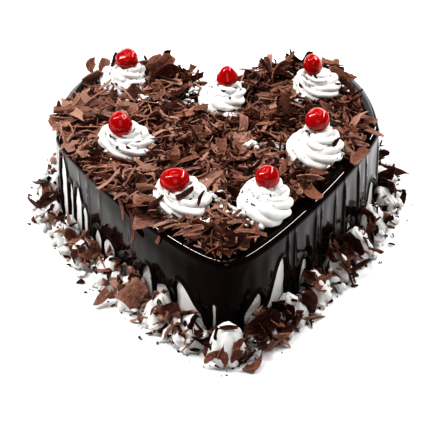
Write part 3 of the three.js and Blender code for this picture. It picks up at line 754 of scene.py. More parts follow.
def swirl_rope(number, turns, depth):
    """Star rope wound on a cone, one closed tube as a grid of t along it and a around it.

    The path turns inwards and upwards from the foot to the seat of the cherry; the section is a
    circle drawn in between petals by depth (1 - |cos|), turned slowly along the path. Both ends
    close to a point, what would pass below the foot is pressed flat, and the whole leans to the cherry.
    """
    x, y, r, h, cherry, *_ = SWIRLS[number]
    steps, corners, petals, twist = 320, 96, 6, 1.1
    t = np.linspace(0, 1, steps)[:, None]
    a = angles_round(corners)
    start = TAU * draw(number, 41) + 1.0
    turn = start + TAU * turns * t
    uneven = 0.5 * np.sin(turn * 1.3 + number) + 0.35 * np.sin(turn * 2.7 + 2 * number)
    rope = mix(0.47 * r, 0.28 * r, t) * (1 + 0.06 * np.sin(turn * 1.9 + number * 2))
    path = mix(0.62 * r, 0.20 * r, smooth(t, 0.22, 1.0)) + uneven
    rise = mix(0.33 * r, h - 0.20 * r, smooth(t, 0.15, 1.0)) + 0.4 * np.sin(turn * 0.8 + number)
    phase = petals * np.pi * twist * turns * t + 0.5 * np.sin(turn * 0.7 + 3 * number)
    cut = depth * (1 + 0.25 * np.sin(turn * 1.1 + 2 * number) + 0.15 * np.sin(a * 2 + turn))
    petal = 1 - cut + cut * np.abs(np.cos(petals * a / 2 + phase)) ** 0.7
    closing = quarter_round(t / 0.035) * quarter_round((1 - t) / 0.03)
    broken = 0.055 * np.sin(5 * turn + 1.5 * np.sin(2 * a) + number)
    broken = broken + 0.02 * np.sin(13 * turn - 3 * a + 2 * number)
    broken = broken + 0.04 * np.sin(3 * a + 4 * turn + 1.5 * np.sin(2 * turn))
    reach = rope * petal * np.maximum(closing, 0.02) * (1 + broken)
    out = path + reach * np.cos(a)
    z = np.maximum(rise + reach * np.sin(a), 0.02)
    share = np.clip(z / h, 0, 1) ** 2
    px = mix(x, cherry[0], share) + out * np.cos(turn)
    py = mix(y, cherry[1], share) + out * np.sin(turn)
    return np.stack([px, py, SEAT + z], axis=-1)


def tube_faces(grid):
    """Closed tube from a grid of rings, with its ends drawn to points."""
    return closed_loft(grid, grid[0].mean(axis=0), grid[-1].mean(axis=0))


def grid_normals(grid):
    """Outward normals of a closed tube's grid corners."""
    along = np.gradient(grid, axis=0)
    across = np.roll(grid, -1, axis=1) - np.roll(grid, 1, axis=1)
    normal = unit(np.cross(along, across))
    middle = grid.mean(axis=1, keepdims=True)
    facing = np.sign((normal * (grid - middle)).sum(-1).mean())
    return normal * facing


def ball_grid(rows, corners):
    """Unit ball as rows of latitude with corners round each, without its two poles."""
    lat = np.linspace(0, np.pi, rows + 2)[1:-1, None]
    lon = angles_round(corners)
    x, y = np.sin(lat) * np.cos(lon), np.sin(lat) * np.sin(lon)
    return np.stack(np.broadcast_arrays(x, y, -np.cos(lat)), axis=-1)


def cherry_surface(number):
    """Uneven ball: an ellipsoid that swells and dips by slow waves, drawn up to a point if it has one."""
    *_, (cx, cy, cz), size, point = SWIRLS[number]
    n = ball_grid(40, 64)
    x, y, z = np.moveaxis(n, -1, 0)
    k = number * 1.7
    swell = 1 + 0.022 * np.sin(3 * x + 2 * y + k) + 0.02 * np.sin(4 * z - 2 * x + 2 * k)
    swell = swell + 0.012 * np.sin(7 * y + 3 * z + k)
    swell = swell * (1 - 0.9 * point * smooth(z, -0.1, 1.0)) + 1.5 * point * np.maximum(z, 0) ** 3
    dimple = 0.10 * np.exp(-((x - 0.3 * np.sin(k)) ** 2 + (y + 0.25) ** 2) / 0.02)
    dimple = dimple * (z > 0) * (point == 0) * 0.6
    rings = n * np.array(size) * (swell - dimple)[..., None] * 0.985
    centre = np.array([cx, cy, HEIGHT + cz])
    low = centre - (0, 0, size[2] * 0.96)
    high = centre + (0, 0, rings[-1, :, 2].mean())
    return closed_loft(centre + rings, low, high)


def plate_faces(nu, nv):
    """Quads of one closed plate: the upper grid, the lower grid and the strip round them."""
    i, j = np.meshgrid(np.arange(nu - 1), np.arange(nv - 1), indexing="ij")
    a = (i * nv + j).ravel()
    upper = np.stack([a, a + nv, a + nv + 1, a + 1], axis=-1)
    lower = upper[:, ::-1] + nu * nv
    walk = [(u, 0) for u in range(nu - 1)] + [(nu - 1, v) for v in range(nv - 1)]
    walk += [(u, nv - 1) for u in range(nu - 1, 0, -1)] + [(0, v) for v in range(nv - 1, 0, -1)]
    p = np.array([u * nv + v for u, v in walk])
    q = np.roll(p, -1)
    strip = np.stack([p + nu * nv, q + nu * nv, q, p], axis=-1)
    return np.vstack([upper, lower, strip])


def turn_matrix(yaw, pitch, roll):
    """Rotation by roll about x, then pitch about y, then yaw about z, for many pieces."""
    (cy, sy), (cp, sp), (cr, sr) = ((np.cos(a), np.sin(a)) for a in (yaw, pitch, roll))
    rows = [
        [cy * cp, cy * sp * sr - sy * cr, cy * sp * cr + sy * sr],
        [sy * cp, sy * sp * sr + cy * cr, sy * sp * cr - cy * sr],
        [-sp, cp * sr, cp * cr],
    ]
    return np.moveaxis(np.array(rows), 2, 0)


def frame_matrix(normal, spin):
    """Rotation whose z axis is the normal, turned about it by spin."""
    side = np.where(np.abs(normal[:, 2:]) < 0.9, np.array([[0.0, 0.0, 1.0]]), np.array([[1.0, 0.0, 0.0]]))
    u = unit(np.cross(side, normal))
    v = np.cross(normal, u)
    c, s = np.cos(spin)[:, None], np.sin(spin)[:, None]
    return np.stack([c * u + s * v, c * v - s * u, normal], axis=-1)


def plate_grid(nu, nv):
    """Places of a plate's grid, u along it and v across it, both from -1 to 1."""
    return (g.ravel() for g in np.meshgrid(np.linspace(-1, 1, nu), np.linspace(-1, 1, nv), indexing="ij"))


def quad_plan(rng, corners, tear, nu, nv):
    """Plan spread between four corners, its border pulled in by a draw for each place, up to tear."""
    u, v = plate_grid(nu, nv)
    weights = np.stack([(1 - u) * (1 - v), (1 + u) * (1 - v), (1 + u) * (1 + v), (1 - u) * (1 + v)]) / 4
    plan = np.einsum("nkc,kp->npc", corners, weights)
    border = (np.abs(u) == 1) | (np.abs(v) == 1)
    pull = 1 - np.where(border, rng.random((len(corners), len(u))), 0) * tear[:, None]
    return plan * pull[..., None]


def shard_plan(rng, half_long, half_wide, tear, nu, nv):
    """Plan of a shard: widest at an own place, narrowing straight to an own share at each end, jagged.

    The middle line bows by up to half of the width, each border place is pulled in by a draw up to
    tear, and the ends are cut askew.
    """
    n = len(half_long)
    u, v = plate_grid(nu, nv)
    ends = rng.random((n, 2)) ** 1.2
    peak = rng.uniform(-0.6, 0.6, (n, 1))
    share = np.where(u < peak, ends[:, :1], ends[:, 1:])
    fall = np.where(u < peak, (peak - u) / (1 + peak), (u - peak) / (1 - peak))
    jag = 1 - np.where(np.abs(v) == 1, rng.random((n, len(u))), 0) * tear[:, None]
    wide = 1 - fall ** 1.2 * (1 - share)
    bow = rng.normal(0, 0.45, (n, 1)) * (u * u - 0.33)
    y = half_wide[:, None] * (v * wide * jag + bow)
    cut = 1 - np.where(np.abs(u) == 1, rng.random((n, len(u))), 0) * 0.45 * tear[:, None]
    slip = np.where(np.abs(u) < 1, rng.uniform(-0.09, 0.09, (n, len(u))), 0)
    x = half_long[:, None] * (u * cut + slip) + rng.normal(0, 0.5, (n, 1)) * y
    return np.stack([x, y], axis=-1)


def bent_plates(rng, centre, plan, thick, turn, curl, nu, nv):
    """Many flakes as one surface: each a closed plate over its plan, bent.

    Along its length a flake bends to a circle of curvature curl[:, 0] and across to one of
    curl[:, 1]; its lower side lies thick below along the normal; then it is turned and moved.
    """
    count = len(centre)
    x, y = plan[..., 0], plan[..., 1]
    kx = np.where(np.abs(curl[:, :1]) < 1e-4, 1e-4, curl[:, :1])
    ky = np.where(np.abs(curl[:, 1:]) < 1e-4, 1e-4, curl[:, 1:])
    (cx, sx), (cy, sy) = ((np.cos(a), np.sin(a)) for a in (kx * x, ky * y))
    hub = (1 - cy) / ky - 1 / kx
    upper = np.stack([-sx * hub, sy / ky, cx * hub + 1 / kx], axis=-1)
    normal = np.stack([-sx * cy, -sy, cx * cy], axis=-1)
    lower = upper - normal * thick[:, None, None]
    local = np.concatenate([upper, lower], axis=1)
    middle = local.mean(axis=1, keepdims=True)
    placed = np.einsum("nij,npj->npi", turn, local - middle) + centre[:, None, :]
    faces = plate_faces(nu, nv)
    every = (np.arange(count)[:, None, None] * (2 * nu * nv) + faces).reshape(-1, 4)
    uv = np.concatenate([plan, plan], axis=1) + rng.random((count, 1, 2)) * 500
    return placed, every, uv


def shavings(rng, centre, half_long, half_wide, turn, thick=(0.5, 0.95), tear=(0.2, 0.65), roll_up=0.10,
             nu=6, nv=3):
    """Shards of shaved chocolate, most of them gently bent, a share of them curled up along their length."""
    n = len(centre)
    curl = rng.normal(0, (0.34, 0.30), (n, 2))
    curl[:, 0] = np.where(rng.random(n) < roll_up, rng.uniform(0.9, 2.2, n) * np.sign(curl[:, 0]), curl[:, 0])
    curl = curl / np.column_stack([half_long, half_wide])
    plan = shard_plan(rng, half_long, half_wide, rng.uniform(*tear, n), nu, nv)
    return bent_plates(rng, centre, plan, rng.uniform(*thick, n), turn, curl, nu, nv)


def half_widths(rng, half_long, share, sliver, broad):
    """Half widths as parts of the half lengths: a share of slivers, the rest broad."""
    n = len(half_long)
    return half_long * np.where(rng.random(n) < share, rng.uniform(*sliver, n), rng.uniform(*broad, n))


def between_ends(ends, roll):
    """Turn and half length of flakes from end to end, upper side up, rolled about their length."""
    along = unit(ends[:, 1] - ends[:, 0])
    side = unit(np.cross((0.0, 0.0, 1.0), along))
    upward = np.cross(along, side)
    across = side * np.cos(roll) + upward * np.sin(roll)
    turn = np.stack([along, across, np.cross(along, across)], axis=-1)
    return turn, np.linalg.norm(ends[:, 1] - ends[:, 0], axis=1) / 2


def rim_mask(nu, nv):
    """1 at the border corners of a plate's two grids, 0 inside."""
    u, v = plate_grid(nu, nv)
    rim = ((np.abs(u) == 1) | (np.abs(v) == 1)).astype(float)
    return np.concatenate([rim, rim])


def join_plates(parts):
    """Join sets of plates into one list of corners, faces, places and tones, edges lighter by a draw as a
    painted highlight.
    """
    rim_of = {2 * nu * nv: rim_mask(nu, nv) for nu, nv in PLATE_GRIDS}
    verts, faces, uvs, tones, start = [], [], [], [], 0
    for placed, every, uv, tone in parts:
        verts.append(placed.reshape(-1, 3))
        faces.append(every + start)
        uvs.append(uv.reshape(-1, 2))
        n, corners = placed.shape[:2]
        # Painted highlight: the border corners of each plate, and so the strip round it, get a lighter tone.
        light = PAINTED_EDGE_HIGHLIGHT * draw(np.arange(n)[:, None] * 7 + np.arange(corners), 61) * rim_of[corners]
        tones.append((tone[:, None] + light).ravel())
        start += placed.shape[0] * placed.shape[1]
    return np.vstack(verts), [np.vstack(faces)], np.vstack(uvs), np.concatenate(tones)


def spread_over_heart(count, first=0):
    """Places of a two-number sequence over the heart, with their depth and s."""
    i = first + np.arange(count)
    xy = np.stack([mix(-112, 112, (0.5 + i * 0.7548776662) % 1),
                   mix(-146, 80, (0.5 + i * 0.5698402910) % 1)], axis=-1)
    depth, s = depth_at(xy)
    return i, xy, depth, s


def large_flakes(rng):
    """The largest flakes, where the plain solid has them: same places, sizes and turns."""
    i, xy, depth, s = spread_over_heart(400)
    keep = (swirl_gap(xy) > 3) & (depth >= bare_strip(s) + 3)
    i, xy = i[keep][:LARGE["count"]], xy[keep][:LARGE["count"]]
    rank = 1 - np.arange(len(i)) / LARGE["count"]
    a = mix(*LARGE["long"], rank * (0.4 + 0.6 * draw(i, 6))) / 2
    b = mix(*LARGE["wide"], rank * draw(i, 7)) / 2
    pitch, roll = (LARGE["tilt"] * 2 * (draw(i, k) - 0.5) for k in (9, 10))
    lift = a * np.abs(np.sin(pitch)) + b * np.abs(np.sin(roll))
    z = SEAT + np.maximum(core_height(*xy.T) - 1, 0.8) + 0.55 * lift
    signs = np.array([[-1, -1], [1, -1], [1, 1], [-1, 1]])
    along = a[:, None] * np.stack([0.72 + 0.28 * draw(i, 20 + k) for k in range(4)], -1)
    across = b[:, None] * np.stack([0.55 + 0.45 * draw(i, 30 + k) for k in range(4)], -1)
    corners = np.stack([along, across], axis=-1) * signs
    turn = turn_matrix(TAU * draw(i, 8), pitch, roll)
    plan = quad_plan(rng, corners, rng.uniform(0.1, 0.4, len(i)), 7, 5)
    curl = rng.normal(0, 0.045, (len(i), 2))
    plates = bent_plates(rng, np.column_stack([xy, z + 0.8]), plan, np.full(len(i), 1.0), turn, curl, 7, 5)
    return *plates, np.maximum(top_tone(rng, xy), 0.45) + 0.15


def smear_reach(xy):
    """Distance from the nearest cream smear's middle in units of its length and width, 1 at its border."""
    reach = np.full(len(xy), 9.0)
    for x, y, long, wide, degrees in SMEARS:
        c, s = math.cos(math.radians(degrees)), math.sin(math.radians(degrees))
        dx, dy = xy[:, 0] - x, xy[:, 1] - y
        along, across = (dx * c + dy * s) / (long + 1.5), (dy * c - dx * s) / (wide + 1.5)
        reach = np.minimum(reach, np.hypot(along, across))
    return reach


def region_size(xy):
    """Size of the flakes as a share of the middle size: fine in the middle, large towards the rim."""
    fine = np.exp(-(((xy[:, 0] - 8) / 50) ** 2 + ((xy[:, 1] + 8) / 44) ** 2))
    return 1.45 - 0.60 * fine - 0.15 * smooth(xy[:, 0], 20, 90)


def top_tone(rng, xy):
    """Tone of the top's flakes: many near black, partly painted shade between the flakes, the rest brown to
    tan, a little lighter on the left.
    """
    n = len(xy)
    left = smooth(xy[:, 0], -25, -80) * smooth(xy[:, 1], -50, -5)
    light = rng.normal(0.88, 0.26, n) + 0.22 * left - 0.08 * smooth(xy[:, 0], 0, 80)
    # The near black share is partly dark chocolate and partly painted shade in the gaps between the flakes.
    dark = rng.random(n) < 0.40 - 0.24 * left
    return np.clip(np.where(dark, rng.uniform(-0.1, 0.30, n), light), 0, 1.3)


def heaped_flakes(rng, count):
    """Shavings over the whole layer, most lying nearly flat, some on edge, piled up to 5 mm above the core.

    Two in three are slivers. On the left they lie mostly crosswise to the cake's middle line.
    """
    _, xy, depth, s = spread_over_heart(2 * count, 1000)
    total = len(xy)
    half_long = mix(2.6, 9.6, rng.random(total) ** 1.7) * region_size(xy)
    half_wide = np.maximum(half_widths(rng, half_long, 0.66, (0.10, 0.26), (0.30, 0.62)), 0.5)
    keep = (swirl_gap(xy) > -1.0 + 0.35 * half_long) & (depth >= strewn_edge(s) + 0.15 * half_long)
    keep &= (smear_reach(xy) > 1) | (rng.random(total) < 0.35)
    xy, half_long, half_wide = (v[keep][:count] for v in (xy, half_long, half_wide))
    n = len(xy)
    pitch, roll = rng.normal(0, 0.30, n), rng.normal(0, 0.70, n)
    steep = (rng.random(n) < 0.12) & (half_long < 5)
    pitch = np.where(steep, rng.uniform(0.6, 1.2, n), pitch)
    lift = half_long * np.abs(np.sin(pitch)) + half_wide * np.abs(np.sin(roll))
    z = SEAT + core_height(*xy.T) - 0.4 + rng.random(n) ** 1.2 * 3.8 + 0.5 * lift
    yaw = rng.uniform(0, TAU, n)
    ordered = rng.random(n) < 0.75 * smooth(xy[:, 0], -40, -75)
    yaw = np.where(ordered, rng.normal(0.15, 0.4, n), yaw)
    plates = shavings(rng, np.column_stack([xy, z]), half_long, half_wide, turn_matrix(yaw, pitch, roll))
    return *plates, top_tone(rng, xy)


def fine_shreds(rng, count):
    """Thin splinters between and over the flakes."""
    _, xy, depth, s = spread_over_heart(int(count * 1.6), 9000)
    half_long = rng.uniform(1.2, 4.6, len(xy))
    keep = (swirl_gap(xy) > -1.0) & (depth >= strewn_edge(s) - 0.5)
    xy, half_long = (v[keep][:count] for v in (xy, half_long))
    n = len(xy)
    pitch = rng.normal(0, 0.34, n)
    z = SEAT + core_height(*xy.T) + rng.random(n) * 3.4 + 0.4 * half_long * np.abs(np.sin(pitch))
    turn = turn_matrix(rng.uniform(0, TAU, n), pitch, rng.normal(0, 0.6, n))
    plates = shavings(rng, np.column_stack([xy, z]), half_long, rng.uniform(0.25, 0.9, n), turn,
                      (0.35, 0.6), (0, 0.3), 0.05, 4, 2)
    return *plates, np.clip(top_tone(rng, xy) + rng.normal(0, 0.15, n), 0, 1)


def laid_flakes(rng):
    """The flakes that stand out, each between its two measured ends; the broadest have a squarish plan."""
    rows = np.array(LAID, float)
    ends = rows[:, :6].reshape(-1, 2, 3)
    turn, half_long = between_ends(ends, np.radians(rows[:, 7:8]))
    half_wide, bend, tone = rows[:, 6], rows[:, 8], rows[:, 9]
    n = len(rows)
    curl = np.column_stack([bend / half_long, rng.normal(0, 0.35, n) / half_wide])
    whole = half_wide > 6
    tear = np.where(whole, 0.10, rng.uniform(0.1, 0.3, n))
    plan = shard_plan(rng, half_long, half_wide, tear, 8, 5)
    u, v = plate_grid(8, 5)
    square = np.stack([half_long[:, None] * (u - 0.12 * v * v),
                       half_wide[:, None] * v * (1 - 0.18 * u)], axis=-1)
    uneven = 1 + rng.normal(0, 0.06, (n, len(u), 1))
    plan = np.where(whole[:, None, None], square * uneven, plan)
    plates = bent_plates(rng, ends.mean(axis=1), plan, np.full(n, 0.9), turn, curl, 8, 5)
    return *plates, tone + 0.2 * (tone > 0.25)


def rolled_flake(rng):
    """A shaving rolled into a tube: a long plate bent across to nearly a full circle."""
    ends, radius = np.array([[ROLL["from"], ROLL["to"]]]), ROLL["radius"]
    turn, (half_long,) = between_ends(ends, 0.0)
    u, v = plate_grid(9, 17)
    ragged = 1 - 0.05 * (np.abs(u) == 1) * draw(np.arange(len(u)), 51)
    plan = np.stack([half_long * u * ragged, 3.0 * radius * v], axis=-1)[None]
    curl = np.array([[0.012, 1 / radius]])
    plates = bent_plates(rng, ends.mean(axis=1), plan, np.array([0.5]), turn, curl, 9, 17)
    return *plates, np.array([0.85])


def core_surface():
    """Low uneven bed of crumbs: rings drawn in from the bare strip to the hub, sunk away under the swirls."""
    s = np.linspace(0, ROUND, 420, endpoint=False)
    border = edge(s, -bare_strip(s) - 2.0)
    rings = [np.column_stack([border, np.full(len(s), CORE_FOOT)])]
    for f in np.concatenate([[1.0, 0.985], np.linspace(0.965, 0.02, 60)]):
        xy = mix(np.array(HUB), border, f)
        x, y = xy.T
        bumps = 0.5 * np.sin(x * 0.9 + 1.3 * np.sin(y * 0.7)) + 0.5 * np.sin(y * 1.1 + 1.1 * np.sin(x * 0.8))
        height = (core_height(x, y) - 0.6 + bumps) * smooth(1 - f, 0, 0.03)
        height = height * smooth(swirl_gap(xy), -2.5, 0.5)
        rings.append(np.column_stack([xy, HEIGHT + 0.1 + height]))
    return closed_loft(np.array(rings), (*HUB, CORE_FOOT), (*HUB, HEIGHT + 2.5))


def lumps(rng, centre, half, yaw, flat):
    """Many small lumps of cream as one surface: balls of few corners, uneven, stretched and pressed."""
    n = len(centre)
    verts, faces = closed_loft(ball_grid(6, 9), (0.0, 0.0, -1.0), (0.0, 0.0, 1.0))
    swell = 1 + 0.42 * np.sin(3 * verts @ rng.normal(0, 1, (3, n)) + rng.uniform(0, 6, n)).T
    local = verts[None] * swell[..., None] * np.column_stack([half, flat])[:, None, :]
    turn = turn_matrix(yaw, rng.normal(0, 0.15, n), rng.normal(0, 0.15, n))
    placed = np.einsum("nij,npj->npi", turn, local) + centre[:, None, :]
    step = (np.arange(n) * len(verts))[:, None, None]
    return placed.reshape(-1, 3), [(step + f).reshape(-1, f.shape[1]) for f in faces]


def stray_cream(rng, count):
    """Smears of cream between the flakes and small bits of it round the swirls."""
    rows = np.array(SMEARS, float)
    yaw = np.radians(rows[:, 4])
    k = np.repeat(np.arange(len(rows)), 8)
    c, s = np.cos(yaw[k]), np.sin(yaw[k])
    a, b = rng.uniform(-0.95, 0.95, (2, len(k))) * rows[k, 2:4].T
    smear = rows[k, :2] + np.column_stack([c * a - s * b, s * a + c * b])
    _, xy, depth, s = spread_over_heart(count * 4, 30000)
    gap = swirl_gap(xy)
    near = (gap > -1) & (gap < 9 * rng.random(len(xy)) ** 1.5) & (depth > bare_strip(s))
    bits = xy[near][:count]
    where = np.vstack([smear, bits])
    n, m = len(smear), len(bits)
    half = np.vstack([np.column_stack([rng.uniform(1.2, 4.2, n), rng.uniform(0.6, 1.7, n)]),
                      rng.uniform(0.5, 1.9, (m, 2))])
    flat = np.concatenate([rng.uniform(0.8, 1.6, n), rng.uniform(0.5, 1.1, m)])
    lift = np.concatenate([rng.uniform(1.2, 2.8, n), rng.uniform(1.6, 4.6, m)])
    z = SEAT + core_height(*where.T) + lift
    turn = np.concatenate([yaw[k] + rng.normal(0, 0.7, n), rng.uniform(0, 6, m)])
    return lumps(rng, np.column_stack([where, z]), half, turn, flat)


def border_centres():
    """Centres of the dollops: one at the tip, one in the notch, equal steps between, both sides alike."""
    s = np.arange(0, ROUND / 2, 1.0)
    half = edge(s, np.full(len(s), BORDER["out"]))
    folded = np.flatnonzero((s > 20) & (half[:, 0] < 0))
    if len(folded):
        half = half[:folded[0]]
    half[0, 0] = 0
    half = np.vstack([half, [[0, half[-1, 1]]]])
    run = np.concatenate([[0], np.cumsum(np.hypot(*np.diff(half, axis=0).T))])
    w = np.linspace(0, run[-1], BORDER["pairs"] + 1)
    right = np.stack([np.interp(w, run, half[:, 0]), np.interp(w, run, half[:, 1])], -1)
    _, near = depth_at(right)
    foot = edge(near)
    far = np.linalg.norm(foot - right, axis=1)
    tuck = TUCK["in"] * smooth(near, TUCK["from"], TUCK["to"])
    right[:-1] += ((foot - right) * (tuck / far)[:, None])[:-1]
    right[0] = (0, TIP_Y - TIP_DOLLOP["out"])
    return np.vstack([right, right[-2:0:-1] * (-1, 1)])


def dollop_surface(centres, i):
    """Grid and closed shell of a piped dollop: a drop drawn in between petals, leaning to the cake.

    Its radius follows a quarter wave from the foot to a small peak, its petals turn with height, and
    what would enter the cake's side or a neighbour is pressed back to that side.
    """
    x, y = centres[i]
    radius = BORDER["radius"] + 1.2 * draw(i, 11) if i else TIP_DOLLOP["radius"]
    height = mix(*BORDER["height"], draw(i, 12)) if i else TIP_DOLLOP["height"]
    t = np.concatenate([[0.0], np.linspace(0.03, 0.97, 26)])[:, None]
    a = angles_round(56)
    profile = np.where(t < 0.25, mix(0.9, 1.0, np.sin(t / 0.25 * np.pi / 2)),
                       np.cos(np.clip((t - 0.25) / 0.75, 0, 1) * np.pi / 2) ** 0.62 * 0.97 + 0.03)
    petal = 1 - 0.20 + 0.20 * np.abs(np.cos(3 * a + 2.6 * t + i * 1.3)) ** 0.8
    uneven = 0.06 * np.sin(2 * a + i) + 0.07 * np.sin(3 * a - 9 * t + 2.1 * i)
    uneven = uneven + 0.05 * np.sin(8 * t + 4 * a + i)
    reach = radius * profile * petal * (1 + uneven * (1.0 if i else 0.35))
    _, near = depth_at(centres[i:i + 1])
    inward = unit(edge(near)[0] - centres[i])
    shift = BORDER["lean"] * t
    px = x + inward[0] * shift + reach * np.cos(a)
    py = y + inward[1] * shift + reach * np.sin(a)
    pz = np.broadcast_to(height * t + 0.05, px.shape)
    grid = np.stack([px, py, pz], axis=-1)
    flat = grid.reshape(-1, 3)
    depth, near = depth_at(flat[:, :2])
    inside = depth > -0.4
    flat[inside, :2] = edge(near[inside], np.full(inside.sum(), 0.4))
    for j in (i - 1, (i + 1) % len(centres)):
        away = centres[i] - centres[j]
        away = away / np.linalg.norm(away)
        short = ((centres[i] + centres[j]) / 2 * away).sum() + 0.15 - flat[:, :2] @ away
        flat[:, :2] += np.maximum(short, 0)[:, None] * away
    grid = flat.reshape(grid.shape)
    peak = grid[-1].mean(axis=0) + (0, 0, 0.5)
    return grid, closed_loft(grid, (*grid[0, :, :2].mean(axis=0), 0.05), peak)


def border_plates(rng, centre, half_long, half_wide, lean, x):
    """Shavings with their faces along the leans, none below the ground.

    Their tone is mixed on the left and mostly dark on the right.
    """
    n = len(x)
    turn = frame_matrix(unit(lean), rng.uniform(0, TAU, n))
    plates = shavings(rng, centre, half_long, half_wide, turn, (0.6, 1.1))
    plates[0][..., 2] -= np.minimum(plates[0][..., 2].min(axis=1), 0)[:, None]
    tone = np.where(rng.random(n) < 0.4, rng.uniform(-0.1, 0.30, n), rng.normal(0.92, 0.24, n))
    return *plates, np.clip(tone - 0.45 * smooth(x, -20, 55), 0, 1.3)


def border_flakes(rng, grids, count):
    """Flakes pressed on the border: at corners of the dollops that face up or away from the cake."""
    points, normals = [], []
    for grid in grids:
        normal = grid_normals(grid)
        depth, _ = depth_at(grid[..., :2].reshape(-1, 2))
        x, y, z = np.moveaxis(grid, -1, 0)
        crown = (np.abs(x) < TIP_CROWN["half"]) & (y < TIP_CROWN["y"]) & (z > TIP_CROWN["z"])
        outside = -depth.reshape(grid.shape[:2])
        reach = mix(14.5, 20.0, smooth(x, -90, -50))
        free = (outside > 1.5) & (outside < reach) & (z > 1.5) & ~crown
        points.append(grid[free])
        normals.append(normal[free])
    points, normals = np.vstack(points), np.vstack(normals)
    k = rng.integers(0, len(points), int(1.6 * count))
    kept = mix(0.72, 0.88, smooth(points[k, 0], -40, 20)) - 0.45 * smooth(points[k, 0], *THIN_RIGHT)
    k = k[rng.random(len(k)) < kept][:count]
    n = len(k)
    half_long = mix(1.8, 10.5, rng.random(n) ** 2.0) * mix(1, 1.2, smooth(points[k, 0], 0, 60))
    half_wide = half_widths(rng, half_long, 0.5, (0.14, 0.3), (0.34, 0.66))
    lean = normals[k] + rng.normal(0, 0.6, (n, 3))
    centre = points[k] + normals[k] * rng.uniform(0.0, 2.0, n)[:, None]
    return border_plates(rng, centre, half_long, half_wide, lean, points[k, 0])


def border_lumps(rng, count):
    """Lumps of cream between and before the dollops, low along the foot of the border."""
    s = rng.uniform(0, ROUND, count)
    s = s[off_notch(s)]
    n = len(s)
    across = rng.uniform(-0.6, 1.0, n)
    half = rng.uniform(1.4, 4.6, (n, 2))
    flat = rng.uniform(1.0, 3.0, n)
    z = flat * 0.7 + BANK["height"] * (1 - across ** 2) * rng.random(n)
    centre = np.column_stack([edge(s, BANK["out"] + 9.0 * across), z])
    verts, faces = lumps(rng, centre, half, rng.uniform(0, 6, n), flat)
    verts[:, 2] = np.maximum(verts[:, 2], 0.03)
    return verts, faces


def bank_flakes(rng, count):
    """Flakes heaped between the dollops: along the foot, on a bank that is a half round across the border."""
    s = rng.uniform(0, ROUND, count * 2)
    across = rng.uniform(-1, 1, count * 2)
    keep = off_notch(s) & ((across < 0.6) | (edge(s)[:, 0] > -80))
    keep &= rng.random(count * 2) > 0.35 * smooth(edge(s)[:, 0], *THIN_RIGHT)
    s, across = s[keep][:count], across[keep][:count]
    n = len(s)
    height = BANK["height"] + 3.0 * np.sin(s * 0.13) + 2.0 * np.sin(s * 0.31 + 1)
    xy = edge(s, BANK["out"] + 9.5 * across)
    z = height * np.sqrt(1 - 0.96 * across ** 2) * rng.uniform(0.75, 1.1, n)
    out = unit(edge(s, np.full(n, 1.0)) - edge(s))
    lean = np.column_stack([out * across[:, None] * 1.1, np.full(n, 0.8)]) + rng.normal(0, 0.6, (n, 3))
    half_long = mix(2.0, 11.0, rng.random(n) ** 1.8) * mix(0.9, 1.2, smooth(xy[:, 0], 0, 60))
    half_wide = half_widths(rng, half_long, 0.4, (0.14, 0.3), (0.34, 0.70))
    return border_plates(rng, np.column_stack([xy, z]), half_long, half_wide, lean, xy[:, 0])


def swirl_specks(rng, grids, each):
    """Dark crumbs and a few flakes stuck on the swirls."""
    sets = []
    for number, grid in enumerate(grids):
        normal = grid_normals(grid)
        cherry, size = np.array(SWIRLS[number][4]) + (0, 0, HEIGHT), np.array(SWIRLS[number][5])
        outside = (((grid - cherry) / (size + 1.2)) ** 2).sum(-1) > 1
        free = outside & (normal[..., 2] > -0.05) & (grid[..., 2] > HEIGHT + 2)
        inner = np.hypot(grid[..., 0] - SWIRLS[number][0], grid[..., 1] - SWIRLS[number][1])
        free &= inner > 0.3 * SWIRLS[number][2]
        points, normals = grid[free], normal[free]
        k = rng.integers(0, len(points), each)
        half_long = mix(0.35, 3.2, rng.random(each) ** 5)
        half_wide = np.minimum(half_long * rng.uniform(0.3, 0.9, each), 1.3)
        turn = frame_matrix(unit(normals[k] + rng.normal(0, 0.2, (each, 3))), rng.uniform(0, TAU, each))
        plates = shavings(rng, points[k] + normals[k] * 0.3, half_long, half_wide, turn,
                          (0.3, 0.6), (0, 0.4), 0.0, 4, 3)
        sets.append((*plates, np.clip(rng.normal(0.25, 0.25, each), 0, 1)))
    return sets


def floor_crumbs(rng, centres, count):
    """Crumbs and slivers that fell beside the border, lying on the ground."""
    k = rng.integers(0, len(centres), count)
    _, near = depth_at(centres)
    outward = unit(centres - edge(near))
    a = rng.uniform(-1.2, 1.2, count)
    c, s = np.cos(a), np.sin(a)
    way = np.stack([outward[k, 0] * c - outward[k, 1] * s, outward[k, 0] * s + outward[k, 1] * c], -1)
    xy = centres[k] + way * (11 + 11 * rng.random(count)[:, None] ** 2.2)
    half_long = mix(0.5, 3.4, rng.random(count) ** 3)
    half_wide = half_long * rng.uniform(0.3, 0.8, count)
    yaw, pitch = rng.uniform(0, TAU, count), rng.normal(0, 0.15, count)
    turn = turn_matrix(yaw, pitch, rng.normal(0, 0.2, count))
    plates = shavings(rng, np.column_stack([xy, np.full(count, 1.0)]), half_long, half_wide, turn,
                      (0.35, 0.8), (0, 0.4), 0.04, 4, 3)
    plates[0][..., 2] -= plates[0][..., 2].min(axis=1)[:, None] - 0.02
    return *plates, np.clip(rng.normal(0.35, 0.25, count), 0, 1)


